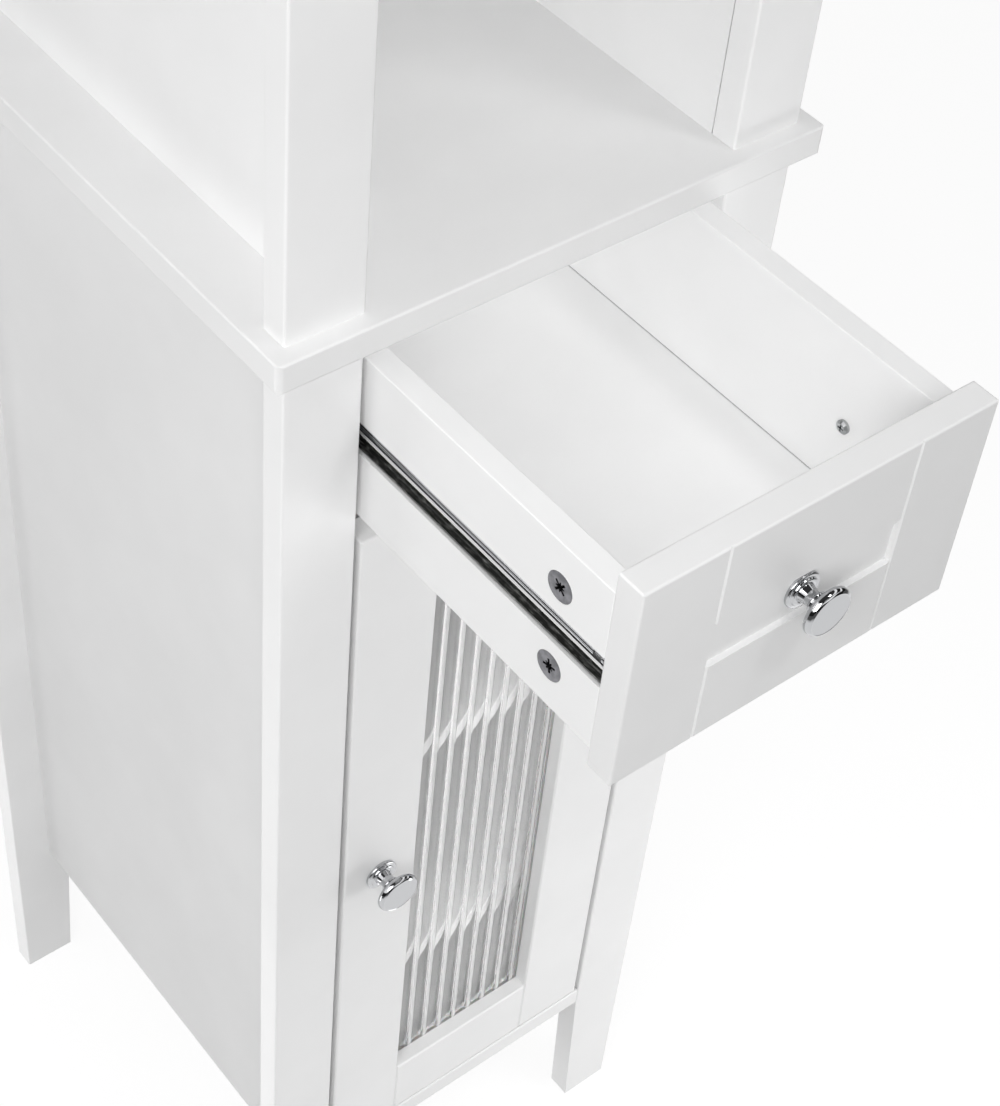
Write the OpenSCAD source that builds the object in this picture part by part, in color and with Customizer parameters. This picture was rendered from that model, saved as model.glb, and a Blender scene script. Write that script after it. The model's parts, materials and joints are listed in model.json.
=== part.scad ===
// Narrow bathroom storage tower: a legged cabinet with one drawer and one
// reeded-glass door below, and open shelves between four posts above.
// Millimetres, Z up. The origin is on the floor, under the middle of the
// tower with its drawer pulled out as far as drawer_open says.

/* [Overall size] */
// Width of the wide boards
board_w = 300; // [280:5:400]
// Depth over the posts, front face to back face
case_d = 322; // [318:1:380]
// Height of the cabinet, floor to the top of the wide middle board
cabinet_h = 812; // [780:1:900]
// Height of the whole tower
total_h = 1600; // [1500:5:1800]

/* [Boards and posts] */
// Thickness of the boards
board_t = 15; // [12:0.5:18]
// How far the wide boards stand proud of the posts, front and sides
board_over = 9; // [4:0.5:15]
// Corner radius of the wide boards, seen from above
board_corner_r = 3; // [2:0.5:6]
// Radius of the eased edges on lacquered pieces
ease_r = 1.2; // [0.6:0.1:2]
// Width of a post, seen from the front
post_w = 40; // [32:1:50]
// Thickness of a post, front to back
post_t = 15; // [12:0.5:18]
// Thickness of the side panels
panel_t = 15; // [12:0.5:18]
// Floor to the underside of the bottom board
leg_h = 122; // [100:1:160]
// How far the side panels hang below the bottom board
panel_drop = 4; // [0:0.5:10]
// Width of a leg where it stands on the floor
foot_w = 34; // [26:1:40]
// Thickness of the back panels
back_t = 5; // [3:0.5:6]
// How deep the back panels sit in the side panels
back_seat = 5; // [3:0.5:6]
// Rear face of the back panels to the back of the tower
back_inset = 19; // [17:1:30]

/* [Open shelves] */
// Number of open bays above the cabinet
open_bays = 3; // [3:3]
// How far the open shelves stand back from the post fronts
open_shelf_back = 2; // [0:0.5:20]

/* [Inside the cabinet] */
// Thickness of the divider under the drawer
divider_t = 12; // [10:0.5:12]
// Thickness of the two loose shelves
inner_shelf_t = 12; // [10:0.5:15]
// Height of the lower loose shelf's top
inner_low_z = 267; // [240:1:300]
// Height of the upper loose shelf's top
inner_high_z = 464; // [430:1:500]
// Front of the loose shelves behind the post fronts
inner_shelf_back = 26; // [26:1:60]
// Gap between a loose shelf and each side panel
inner_shelf_gap = 0.8; // [0.5:0.1:2]
// Diameter of the shelf pins
pin_d = 5; // [4:0.5:6]
// Distance between the rows of shelf-pin holes
pin_pitch = 32; // [25:1:40]
// Depth of a shelf-pin hole
pin_hole_depth = 9; // [6:0.5:11]
// Length of pin that stands out under a shelf
pin_reach = 8; // [5:0.5:12]

/* [Drawer] */
// How far the drawer is pulled out
drawer_open = 171; // [60:1:190]
// Height of the drawer front
front_h = 115; // [105:1:125]
// Thickness of the drawer front and of the door
front_t = 15; // [14:0.5:18]
// Gap above the drawer front
front_top_gap = 2.5; // [1.5:0.5:4]
// Gap between drawer front and door
front_door_gap = 4; // [3:0.5:5]
// Gap beside the drawer front and the door
side_gap = 3.5; // [3:0.1:4]
// Width of the drawer front's stiles
drawer_stile_w = 45; // [35:1:55]
// Height of the sunk field between the drawer front's rails
field_h = 26; // [24:1:34]
// Depth of the sunk field
field_depth = 3; // [2:0.5:4]
// Width of the chamfer on each side of a V joint
vee = 0.9; // [0.5:0.1:1.5]
// Thickness of the drawer sides and back
box_t = 12; // [11:0.5:14]
// Height of the drawer sides
box_h = 93; // [88:1:96]
// Front's top edge down to the drawer side's top edge
box_drop = 12; // [10:0.5:15]
// How much longer the drawer sides are than their slides
box_spare = 2; // [1:0.5:3]
// Gap between a drawer side and the side panel
box_gap = 4; // [3.5:0.1:4.5]
// Thickness of the drawer bottom
bottom_t = 5; // [3:0.5:6]
// Drawer side's lower edge to the drawer bottom's underside
bottom_lift = 5.5; // [4:0.5:7]
// How deep the drawer bottom sits in its grooves
bottom_seat = 5; // [3:0.5:6]

/* [Ball-bearing slides] */
// Height of the drawer member
slide_h = 17; // [16:0.5:18]
// Thickness of the whole slide
slide_t = 10; // [9.5:0.5:10.5]
// Step between the lengths that the slides come in
slide_step = 32; // [32:1:33]
// Length that the series of slides starts from
slide_base = 22; // [20:1:22]
// Full travel of the drawer
slide_travel = 195; // [190:1:200]
// Sheet thickness of the members
slide_wall = 1.2; // [1:0.1:1.3]
// Outer radius of the rolled ball race
race_r = 2.9; // [2.8:0.1:3]
// Length of the race's lip below its roll
race_lip = 0.3; // [0.2:0.1:1.5]
// Front end of the drawer member to the notch in its upper lip
lip_notch_in = 1.5; // [1:0.5:3]
// Length of the notch
lip_notch_len = 5; // [4:0.5:8]
// Radius of the balls
ball_r = 1.5; // [1.3:0.05:1.5]
// Gap between a ball and its races
ball_gap = 0.2; // [0.15:0.05:0.3]
// Length of the ball cage
cage_len = 80; // [60:1:82]
// Thickness of the ball cage
cage_t = 0.5; // [0.4:0.05:0.6]
// Balls in each row
cage_balls = 7; // [4:1:8]

/* [Door] */
// Width of the door's stiles and height of its rails
door_frame_w = 47.5; // [40:0.5:55]
// Gap under the door
door_floor_gap = 2; // [1:0.5:4]
// Thickness of the glass over its ribs
glass_t = 4; // [3:0.5:5]
// Distance between the glass ribs
rib_pitch = 11.4; // [8:0.1:16]
// Height of the glass ribs
rib_h = 0.8; // [0.5:0.1:1.2]
// Width of a glass rib at its foot
rib_w = 4; // [3:0.2:5]
// Width of the rebate behind the glass opening
rebate_w = 6; // [5:0.5:8]
// Depth of the rebate from the door's back
rebate_d = 6; // [5.5:0.5:8]
// Gap between the glass and its rebate
glass_gap = 0.5; // [0.3:0.1:1]

/* [Hinges] */
// Diameter of the hinge cup
cup_d = 26; // [25:0.5:27]
// Depth of the hinge cup
cup_depth = 10.5; // [10:0.5:11]
// Door edge to the cup's rim
cup_land = 4; // [3.5:0.5:5]
// Sheet thickness of the cup
cup_wall = 0.8; // [0.6:0.1:1]
// Door edge to the hinge pin
pivot_in = 13; // [12.5:0.5:14]
// Door front to the hinge pin
pivot_back = 8; // [7.8:0.1:8.2]
// Diameter of the hinge pin
hinge_pin_d = 3; // [2.5:0.1:3]
// Radial clearance of the hinge arm on its pin
pin_clear = 0.06; // [0.02:0.01:0.1]
// Sheet thickness of the hinge arm
arm_t = 2; // [1.6:0.1:2.2]
// Height of the hinge arm
arm_h = 10; // [8:0.5:10]
// Thickness of the mounting plate's boss
plate_h = 6; // [5:0.5:6]
// Length of the mounting plate's boss
plate_len = 34; // [30:1:38]
// Width of the mounting plate's boss and wings
plate_w = 12; // [11:0.5:14]
// Thickness of the wings
plate_wing_t = 2; // [1.5:0.1:2.5]
// Hinge centre to the wing screws
plate_screw_z = 16; // [14:0.5:18]
// Cup rim to the centre of its screws
cup_screw_out = 6; // [5.5:0.5:8]
// Thickness of the cup's flange
cup_flange = 1; // [0.8:0.1:1]
// Width of the cup's flange
cup_flange_w = 16; // [14:0.5:18]
// Door end to the hinge centre
hinge_in = 70; // [60:1:100]

/* [Knobs] */
// Diameter of a knob's head
knob_d = 25; // [22:0.5:28]
// Diameter of a knob's foot
knob_foot_d = 19; // [16:0.5:21]
// Height of a knob
knob_h = 18; // [17:0.5:20]
// Diameter of the knob screws
knob_screw_d = 4; // [3:0.5:4]

/* [Fasteners] */
// Diameter of the cam locks
cam_d = 15; // [14:0.5:16]
// Depth of the cam locks
cam_depth = 9.5; // [8:0.5:10]
// Back of the drawer front to the cam centre
cam_in = 29.5; // [25:0.5:34]
// Distance between the two cam centres on a drawer side
cam_spacing = 47; // [45:0.5:50]
// Diameter of the cam bolts
cam_bolt_d = 5; // [4:0.5:6]
// Diameter of the wood screws
screw_d = 3.5; // [3:0.1:4]
// Diameter of a screw head
screw_head_d = 7; // [6.5:0.1:7.5]
// Back of the drawer front to the first slide screw
slide_screw_in = 49; // [40:1:60]
// Distance between the slide screws
slide_screw_pitch = 160; // [96:32:192]
// Cabinet member's ends to its screws
slide_end_in = 25; // [18:1:40]
// Radial clearance of screws, bolts and dowels in their holes
screw_clear = 0.05; // [0.02:0.01:0.1]
// Diameter of the wooden dowels that join the boards
dowel_d = 6; // [5:0.5:6.5]
// Length of the dowels
dowel_len = 30; // [25:1:35]
// How deep a dowel goes into the face of a board
dowel_in_face = 11; // [8:0.5:11]
// Front and back of the case to the nearest dowels in a board's ends
dowel_row_in = 68; // [60:1:80]
// Distance between neighbouring rows of dowels
dowel_row_step = 35; // [20:1:45]
// Post's edge to the dowel in its end
post_dowel_in = 12; // [10:0.5:14]
// End of a post to the nearest dowel in its back
post_dowel_z = 70; // [50:1:90]

/* [Hidden] */
$fn = 48;

lacquer = "#f3f3f1";
lacquer_shade = "#e9e9e7";
steel = "#8b8e90";
dark_steel = "#4a4d50";
chrome = "#d7dadd";
zinc = "#86878a";
glass_tint = "#dfe7e6";
nylon = "#e4e2dc";
beech = "#d8b98c";

// Plan of the case. X runs to the right, Y to the back from the post fronts.
post_out = board_w / 2 - board_over;
post_in = post_out - post_w;
panel_out = post_in + panel_t;
board_back = case_d;
rear_post_front = case_d - post_t;
back_rear = case_d - back_inset;
back_front = back_rear - back_t;
seat_gap = 0.1;

// Heights of the case
mid_under = cabinet_h - board_t;
top_under = total_h - board_t;
bottom_top = leg_h + board_t;
panel_foot = leg_h - panel_drop;
bay_h = (top_under - cabinet_h - (open_bays - 1) * board_t) / open_bays;
function open_shelf_under(number) = cabinet_h + number * bay_h + (number - 1) * board_t;

// Drawer front and door leaf
leaf_w = 2 * (post_in - side_gap);
front_top = mid_under - front_top_gap;
front_foot = front_top - front_h;
front_mid = (front_top + front_foot) / 2;
door_top = front_foot - front_door_gap;
door_foot = bottom_top + door_floor_gap;
door_mid = (door_top + door_foot) / 2;

// Drawer box, in the drawer's own closed place
box_out = post_in - box_gap;
box_in = box_out - box_t;
box_top = front_top - box_drop;
box_foot = box_top - box_h;
cabinet_member_front = front_t + 2;
slide_room = back_front - cabinet_member_front;
slide_len = slide_base + slide_step * floor((slide_room - slide_base) / slide_step);
box_rear = front_t + slide_len + box_spare;
box_mid = (box_top + box_foot) / 2;
bottom_z = box_foot + bottom_lift;
bottom_half = box_in + bottom_seat;

// Slides
groove_depth = slide_t - box_gap;
groove_floor = box_out - groove_depth;
groove_clear = 0.3;
member_front = front_t + 0.2;
race_z = slide_h / 2 - race_r;
race_in_r = ball_r + ball_gap;
flange_z = race_z - ball_r - ball_gap;
flange_end = slide_wall + groove_clear + cage_t + 0.4;
cage_front = cabinet_member_front + slide_travel / 2;
divider_top = box_foot - 1;
divider_under = divider_top - divider_t;
divider_front = front_t + 1;

// Heights of the boards whose ends stand against the side panels
cabinet_end_joint_zs = [(leg_h + bottom_top) / 2, (divider_under + divider_top) / 2];
shelf_end_joint_zs = [for (i = [1 : open_bays - 1]) open_shelf_under(i) + board_t / 2];
end_joint_zs = concat(cabinet_end_joint_zs, shelf_end_joint_zs);

// Hinges
pivot_x = leaf_w / 2 - pivot_in;
cup_x = leaf_w / 2 - cup_land - cup_d / 2;
hinge_zs = [door_foot + hinge_in, door_top - hinge_in];
plate_face = post_in - plate_h;
column_x = pivot_x - pivot_in + arm_t / 2 - 0.5;
land_sweep = norm([pivot_in, max(pivot_back, front_t - pivot_back) + cup_flange]);
bridge_y = pivot_back + land_sweep + 0.4;
arm_end = bridge_y + arm_t + plate_len;
hinge_screw_z = cup_d / 2 + cup_screw_out;
plate_mid_y = arm_end - plate_len / 2;

// Knobs and their screws
knob_foot_rim_r = 1;
foot_ring_share = 0.66;
knob_rim_r = 2.2;
knob_waist_r = 4.2;
knob_ring_r = foot_ring_share * knob_foot_d / 2;
knob_waist_z = 5.5;
knob_bead_z = 9.6;
knob_reach = knob_h - field_depth;
knob_screw_grip = 9;

// The tower is centred front to back with its drawer pulled out.
front_y = (drawer_open + knob_reach - case_d) / 2;

// ---- Small helpers -------------------------------------------------------

// A block between two corners, each axis given as [low, high]
module block(x, y, z) {
    translate([x[0], y[0], z[0]])
        cube([x[1] - x[0], y[1] - y[0], z[1] - z[0]]);
}

// A rectangle with round corners
module round_rect(x, y, r) {
    translate([x[0] + r, y[0]]) square([x[1] - x[0] - 2 * r, y[1] - y[0]]);
    translate([x[0], y[0] + r]) square([x[1] - x[0], y[1] - y[0] - 2 * r]);
    for (cx = [x[0] + r, x[1] - r], cy = [y[0] + r, y[1] - r])
        translate([cx, cy]) circle(r);
}

// Extrudes a drawing in X and Z along Y
module along_y(y) {
    translate([0, y[1], 0]) rotate([90, 0, 0]) linear_extrude(y[1] - y[0]) children();
}

// Extrudes a drawing in Y and Z along X
module along_x(x) {
    translate([x[0], 0, 0]) rotate([90, 0, 90]) linear_extrude(x[1] - x[0]) children();
}

// A block with every edge eased
module eased_block(x, y, z, r = ease_r, corner_r = ease_r) {
    intersection() {
        translate([0, 0, z[0]]) linear_extrude(z[1] - z[0]) round_rect(x, y, corner_r);
        along_y([y[0] - 1, y[1] + 1]) round_rect(x, z, r);
        along_x([x[0] - 1, x[1] + 1]) round_rect(y, z, r);
    }
}

// A cylinder along X or Y from one plane to another
module rod_x(r, x, y, z) {
    translate([x[0], y, z]) rotate([0, 90, 0]) cylinder(r = r, h = x[1] - x[0]);
}

module rod_y(r, x, y, z) {
    translate([x, y[0], z]) rotate([-90, 0, 0]) cylinder(r = r, h = y[1] - y[0]);
}

// The same piece on the left (-1) or on the right (1); drawn for the right
module on_side(side) {
    mirror([side < 0 ? 1 : 0, 0, 0]) children();
}

module in_case() {
    translate([0, front_y, 0]) children();
}

module in_drawer() {
    translate([0, front_y - drawer_open, 0]) children();
}

module in_cage() {
    translate([0, front_y - drawer_open / 2, 0]) children();
}

// A cross-head screw pointing along -Z, its head's underside at z = 0
module pan_screw(length, d = screw_d, head_d = screw_head_d) {
    head_h = head_d * 0.32;
    difference() {
        union() {
            cylinder(r = head_d / 2, h = head_h * 0.55);
            translate([0, 0, head_h * 0.55])
                cylinder(r1 = head_d / 2, r2 = head_d * 0.32, h = head_h * 0.45);
            translate([0, 0, -length]) cylinder(r = d / 2, h = length);
        }
        cross_slot(head_d * 0.5, head_d * 0.13, head_h, head_h * 0.6);
    }
}

// A countersunk screw pointing along -Z, its head flush with z = 0
module flush_screw(length, d = screw_d, head_d = screw_head_d) {
    cone_h = (head_d - d) / 2;
    difference() {
        union() {
            translate([0, 0, -cone_h]) cylinder(r1 = d / 2, r2 = head_d / 2, h = cone_h);
            translate([0, 0, -length]) cylinder(r = d / 2, h = length - cone_h);
        }
        cross_slot(head_d * 0.5, head_d * 0.13, 0, cone_h * 0.6);
    }
}

// The hole that a flush screw fills
module flush_hole(length, d = screw_d, head_d = screw_head_d) {
    cone_h = (head_d - d) / 2;
    translate([0, 0, -cone_h])
        cylinder(r1 = d / 2 + screw_clear, r2 = head_d / 2 + screw_clear, h = cone_h);
    translate([0, 0, -length - screw_clear]) cylinder(r = d / 2 + screw_clear, h = length);
    cylinder(r = head_d / 2 + screw_clear, h = 1);
}

// The cross in a screw head, sunk from the height top
module cross_slot(span, width, top, depth) {
    for (turn = [0, 90])
        rotate([0, 0, turn])
            translate([-span / 2, -width / 2, top - depth]) cube([span, width, depth + 1]);
}

// ---- Dowels --------------------------------------------------------------
// Each joint of the case has two or more dowels, deep in the end of one board
// and less deep in the face of the other. They are drawn for the right side,
// and extra makes them larger all round for their holes.

dowel_in_end = dowel_len - dowel_in_face;
dowel_x = (post_in + back_seat + panel_out) / 2;
dowel_ys = [dowel_row_in, case_d - dowel_row_in];
under_dowel_ys = [dowel_ys[0] - dowel_row_step / 3, dowel_ys[1] + dowel_row_step / 3];
over_dowel_ys = [dowel_ys[0] + dowel_row_step, dowel_ys[1] - dowel_row_step];
leg_dowel_zs = [leg_h + post_dowel_z, (leg_h + mid_under) / 2, mid_under - 1.5 * post_dowel_z];
post_dowel_zs = [cabinet_h + post_dowel_z, (cabinet_h + top_under) / 2, top_under - post_dowel_z];

// Joints under a wide board (way = -1) or on top of one (way = 1). The two
// rows of the middle board are set apart, so that they miss each other.
module board_dowels(z, way, extra) {
    low = z - (way > 0 ? dowel_in_face : dowel_in_end) - extra;
    high = z + (way > 0 ? dowel_in_end : dowel_in_face) + extra;
    post_x = way > 0 ? post_in + post_dowel_in : post_out - post_dowel_in;
    for (y = way > 0 ? over_dowel_ys : under_dowel_ys)
        translate([dowel_x, y, low]) cylinder(r = dowel_d / 2 + extra, h = high - low);
    for (y = [post_t / 2, case_d - post_t / 2])
        translate([post_x, y, low]) cylinder(r = dowel_d / 2 + extra, h = high - low);
}

// Joints between the end of a board at the height z and a side panel
module end_dowels(z, extra) {
    for (y = dowel_ys)
        rod_x(dowel_d / 2 + extra, [post_in - dowel_in_end - extra, post_in + dowel_in_face + extra],
            y, z);
}

// Joints between the edges of a side panel and its two posts
module post_dowels(zs, extra) {
    for (z = zs) {
        rod_y(dowel_d / 2 + extra, dowel_x,
            [post_t - dowel_in_face - extra, post_t + dowel_in_end + extra], z);
        rod_y(dowel_d / 2 + extra, dowel_x,
            [rear_post_front - dowel_in_end - extra, rear_post_front + dowel_in_face + extra], z);
    }
}

module cabinet_dowels(extra) {
    board_dowels(mid_under, -1, extra);
    post_dowels(leg_dowel_zs, extra);
}

module shelf_unit_dowels(extra) {
    board_dowels(cabinet_h, 1, extra);
    board_dowels(top_under, -1, extra);
    post_dowels(post_dowel_zs, extra);
}

module case_dowels() color(beech)
    in_case() for (side = [-1, 1]) on_side(side) {
        cabinet_dowels(0);
        shelf_unit_dowels(0);
        for (z = end_joint_zs) end_dowels(z, 0);
    }

// ---- Case ----------------------------------------------------------------

module wide_board(z) {
    eased_block([-board_w / 2, board_w / 2], [-board_over, board_back], z,
        ease_r, board_corner_r);
}

module top_board() color(lacquer)
    in_case() difference() {
        wide_board([top_under, total_h]);
        for (side = [-1, 1]) on_side(side) board_dowels(top_under, -1, screw_clear);
    }

module mid_board() color(lacquer)
    in_case() difference() {
        wide_board([mid_under, cabinet_h]);
        for (side = [-1, 1]) on_side(side) {
            board_dowels(mid_under, -1, screw_clear);
            board_dowels(cabinet_h, 1, screw_clear);
        }
    }

// Holes in both ends of a board that stands between the side panels
module end_dowel_holes(z) {
    for (side = [-1, 1]) on_side(side) end_dowels(z, screw_clear);
}

module bottom_board() color(lacquer)
    in_case() difference() {
        eased_block([-post_in, post_in], [0, back_front], [leg_h, bottom_top]);
        end_dowel_holes((leg_h + bottom_top) / 2);
    }

module drawer_divider() color(lacquer_shade)
    in_case() difference() {
        block([-post_in, post_in], [divider_front, back_front], [divider_under, divider_top]);
        catch_screw_holes();
        end_dowel_holes((divider_under + divider_top) / 2);
    }

// The groove for a back panel in a side panel
module back_groove(z) {
    block([post_in - 1, post_in + back_seat + seat_gap],
        [back_front - seat_gap, back_rear + seat_gap], z);
}

// Heights of the shelf-pin holes: one row above and one below each shelf's own
function pin_rows(shelf_top) =
    [for (step = [-1, 0, 1]) shelf_top - inner_shelf_t - pin_d / 2 + step * pin_pitch];
pin_columns = [inner_shelf_back + 30, back_front - 35];

module lower_side(side) {
    in_case() on_side(side) difference() {
        block([post_in, panel_out], [post_t, rear_post_front], [panel_foot, mid_under]);
        back_groove([panel_foot - 1, mid_under + 1]);
        for (shelf_top = [inner_low_z, inner_high_z], z = pin_rows(shelf_top), y = pin_columns)
            rod_x(pin_d / 2, [post_in - 1, post_in + pin_hole_depth], y, z);
        cabinet_slide_screw_holes();
        cabinet_dowels(screw_clear);
        for (z = cabinet_end_joint_zs) end_dowels(z, screw_clear);
        if (side > 0) plate_screw_holes();
    }
}

module lower_side_left() color(lacquer) lower_side(-1);

module lower_side_right() color(lacquer) lower_side(1);

module upper_side(side) {
    in_case() on_side(side) difference() {
        block([post_in, panel_out], [post_t, rear_post_front], [cabinet_h, top_under]);
        back_groove([cabinet_h - 1, top_under + 1]);
        shelf_unit_dowels(screw_clear);
        for (z = shelf_end_joint_zs) end_dowels(z, screw_clear);
    }
}

module upper_side_left() color(lacquer) upper_side(-1);

module upper_side_right() color(lacquer) upper_side(1);

module back_panel(z) {
    half = post_in + back_seat;
    in_case() block([-half, half], [back_front, back_rear], z);
}

module lower_back_panel() color(lacquer_shade) back_panel([leg_h, mid_under]);

module upper_back_panel() color(lacquer_shade) back_panel([cabinet_h, top_under]);

// A post drawn on the right, with its long edges eased
module post(y, z) {
    translate([0, 0, z[0]])
        linear_extrude(z[1] - z[0]) round_rect([post_in, post_out], y, ease_r);
}

// A cabinet post that tapers on its inner side below the bottom board
module leg_post(side, y) {
    in_case() on_side(side) difference() {
        post(y, [0, mid_under]);
        along_y([y[0] - 1, y[1] + 1])
            polygon([[post_in - 1, leg_h], [post_in, leg_h],
                [post_out - foot_w, 0], [post_out - foot_w, -1], [post_in - 1, -1]]);
        cabinet_dowels(screw_clear);
    }
}

module front_leg_post_left() color(lacquer) leg_post(-1, [0, post_t]);

module front_leg_post_right() color(lacquer) leg_post(1, [0, post_t]);

module rear_leg_post_left() color(lacquer) leg_post(-1, [rear_post_front, case_d]);

module rear_leg_post_right() color(lacquer) leg_post(1, [rear_post_front, case_d]);

module upper_post(side, y) {
    in_case() on_side(side) difference() {
        post(y, [cabinet_h, top_under]);
        shelf_unit_dowels(screw_clear);
    }
}

module upper_front_post_left() color(lacquer) upper_post(-1, [0, post_t]);

module upper_front_post_right() color(lacquer) upper_post(1, [0, post_t]);

module upper_rear_post_left() color(lacquer) upper_post(-1, [rear_post_front, case_d]);

module upper_rear_post_right() color(lacquer) upper_post(1, [rear_post_front, case_d]);

// An open shelf, numbered from below
module open_shelf(number) {
    under = open_shelf_under(number);
    in_case() difference() {
        eased_block([-post_in, post_in], [open_shelf_back, back_front], [under, under + board_t]);
        end_dowel_holes(under + board_t / 2);
    }
}

module open_shelf_lower() color(lacquer) open_shelf(1);

module open_shelf_upper() color(lacquer) open_shelf(2);

module inner_shelf(top) {
    half = post_in - inner_shelf_gap;
    in_case() eased_block([-half, half], [inner_shelf_back, back_front - 1],
        [top - inner_shelf_t, top]);
}

module inner_shelf_lower() color(lacquer) inner_shelf(inner_low_z);

module inner_shelf_upper() color(lacquer) inner_shelf(inner_high_z);

// Eight pins with a collar against the panel; a shelf lies on four of them
module shelf_pins() color(nylon)
    in_case()
        for (side = [-1, 1], top = [inner_low_z, inner_high_z], y = pin_columns)
            on_side(side) shelf_pin(y, top - inner_shelf_t - pin_d / 2);

module shelf_pin(y, z) {
    rod_x(pin_d / 2 - 0.05, [post_in - pin_reach, post_in + pin_hole_depth - 0.5], y, z);
}

// ---- Ball-bearing slides ------------------------------------------------
// Drawings in X and Z for the right side. The drawer member lies in a groove
// of the drawer side and opens towards the cabinet; the slimmer cabinet
// member runs inside it on two rows of caged balls.

module slide_place(y) {
    translate([0, 0, box_mid]) along_y(y) translate([groove_floor, 0]) children();
}

// Web, two rolled races and their lips
module drawer_member_shape() {
    translate([0, -race_z]) square([slide_wall, 2 * race_z]);
    for (end = [0, 1]) mirror([0, end]) {
        translate([race_r, race_z]) difference() {
            circle(race_r);
            circle(race_in_r);
            translate([-race_r - 1, -race_r - 1]) square([2 * race_r + 2, race_r + 1]);
        }
        translate([race_r + race_in_r, race_z - race_lip])
            square([race_r - race_in_r, race_lip]);
    }
}

module cabinet_member_shape() {
    difference() {
        translate([flange_end, -flange_z]) square([slide_t - flange_end, 2 * flange_z]);
        translate([flange_end - 1, slide_wall - flange_z])
            square([slide_t - slide_wall - flange_end + 1, 2 * (flange_z - slide_wall)]);
    }
}

function slide_screw_ys() =
    [for (step = [0, 1]) front_t + slide_screw_in + step * slide_screw_pitch];

// The front end of the drawer member: a notch in the upper lip in front, and
// the sheet folded into both races as stops for the ball cage
module slide_front_stops() {
    for (end = [0, 1]) mirror([0, end])
        translate([race_r, race_z]) intersection() {
            circle(race_in_r + 0.1);
            translate([0.4 - race_r, 0]) square(2 * race_r);
        }
}

module slide_lip_notch() {
    block([groove_floor + race_r + 1, box_out],
        [member_front + lip_notch_in, member_front + lip_notch_in + lip_notch_len],
        [box_mid + race_z - race_lip - 1, box_mid + race_z + race_r - slide_wall]);
}

module slide_drawer_member(side) {
    in_drawer() on_side(side) {
        difference() {
            slide_place([member_front, member_front + slide_len]) drawer_member_shape();
            slide_lip_notch();
            for (y = slide_screw_ys())
                rod_x(screw_d / 2 + screw_clear, [groove_floor - 1, groove_floor + 3], y, box_mid);
        }
        slide_place([member_front, member_front + lip_notch_in + 1]) slide_front_stops();
    }
}

module slide_drawer_member_left() color(steel) slide_drawer_member(-1);

module slide_drawer_member_right() color(steel) slide_drawer_member(1);

cabinet_slide_screw_ys = [cabinet_member_front + slide_end_in,
    cabinet_member_front + slide_len - slide_end_in];
small_screw_d = 3;
small_head_d = 5;
slide_screw_len = 11;

module slide_cabinet_member(side) {
    in_case() on_side(side) difference() {
        slide_place([cabinet_member_front, cabinet_member_front + slide_len])
            cabinet_member_shape();
        for (y = cabinet_slide_screw_ys)
            cabinet_slide_screw_at(y)
                flush_hole(slide_screw_len, small_screw_d, small_head_d);
    }
}

module slide_cabinet_member_left() color(dark_steel) slide_cabinet_member(-1);

module slide_cabinet_member_right() color(dark_steel) slide_cabinet_member(1);

// Turns a screw so that it points into the right side panel
module cabinet_slide_screw_at(y) {
    translate([post_in - slide_wall, y, box_mid]) rotate([0, -90, 0]) children();
}

module cabinet_slide_screw_holes() {
    for (y = cabinet_slide_screw_ys)
        rod_x(small_screw_d / 2 + screw_clear, [post_in - 1, post_in + slide_screw_len], y, box_mid);
}

// Two perforated strips joined by a web, with a ball in every hole
module slide_cage(side) {
    strip_in = slide_wall + groove_clear;
    strip_out = race_r + race_in_r - 0.4;
    ball_step = (cage_len - 8) / (cage_balls - 1);
    in_cage() on_side(side) {
        difference() {
            slide_place([cage_front, cage_front + cage_len]) {
                translate([strip_in, -race_z - cage_t / 2]) square([cage_t, 2 * race_z + cage_t]);
                for (end = [-1, 1])
                    translate([strip_in, end * race_z - cage_t / 2])
                        square([strip_out - strip_in, cage_t]);
            }
            for (i = [0 : cage_balls - 1], end = [-1, 1])
                translate([groove_floor + race_r, cage_front + 4 + i * ball_step,
                        box_mid + end * race_z - 1])
                    cylinder(r = ball_r * 0.9, h = 2);
        }
        for (i = [0 : cage_balls - 1], end = [-1, 1])
            translate([groove_floor + race_r, cage_front + 4 + i * ball_step,
                    box_mid + end * race_z])
                sphere(r = ball_r);
    }
}

module slide_cage_left() color(steel) slide_cage(-1);

module slide_cage_right() color(steel) slide_cage(1);

// ---- Drawer --------------------------------------------------------------

// The whole drawer front before it is divided into stiles and rails
module drawer_front_outline() {
    eased_block([-leaf_w / 2, leaf_w / 2], [0, front_t], [front_foot, front_top]);
}

// The groove that holds the drawer bottom in front, sides and back
module bottom_groove() {
    block([-bottom_half - seat_gap, bottom_half + seat_gap],
        [front_t - bottom_seat - seat_gap, box_rear - box_t + bottom_seat + seat_gap],
        [bottom_z - seat_gap, bottom_z + bottom_t + seat_gap]);
}

drawer_seam_x = leaf_w / 2 - drawer_stile_w;

module drawer_stile(side) {
    in_drawer() difference() {
        intersection() {
            drawer_front_outline();
            on_side(side) block([drawer_seam_x, leaf_w / 2 + 1], [-1, front_t + 1],
                [front_foot - 1, front_top + 1]);
        }
        seam_vee(side * drawer_seam_x, [front_foot, front_top]);
        bottom_groove();
        cam_bolt_holes();
    }
}

module drawer_stile_left() color(lacquer) drawer_stile(-1);

module drawer_stile_right() color(lacquer) drawer_stile(1);

// A V-shaped notch, as deep as it is half wide, along a vertical seam
module seam_vee(x, z) {
    translate([0, 0, z[0] - 1]) linear_extrude(z[1] - z[0] + 2)
        polygon([[x - vee - 0.1, -0.1], [x, vee], [x + vee + 0.1, -0.1]]);
}

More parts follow.
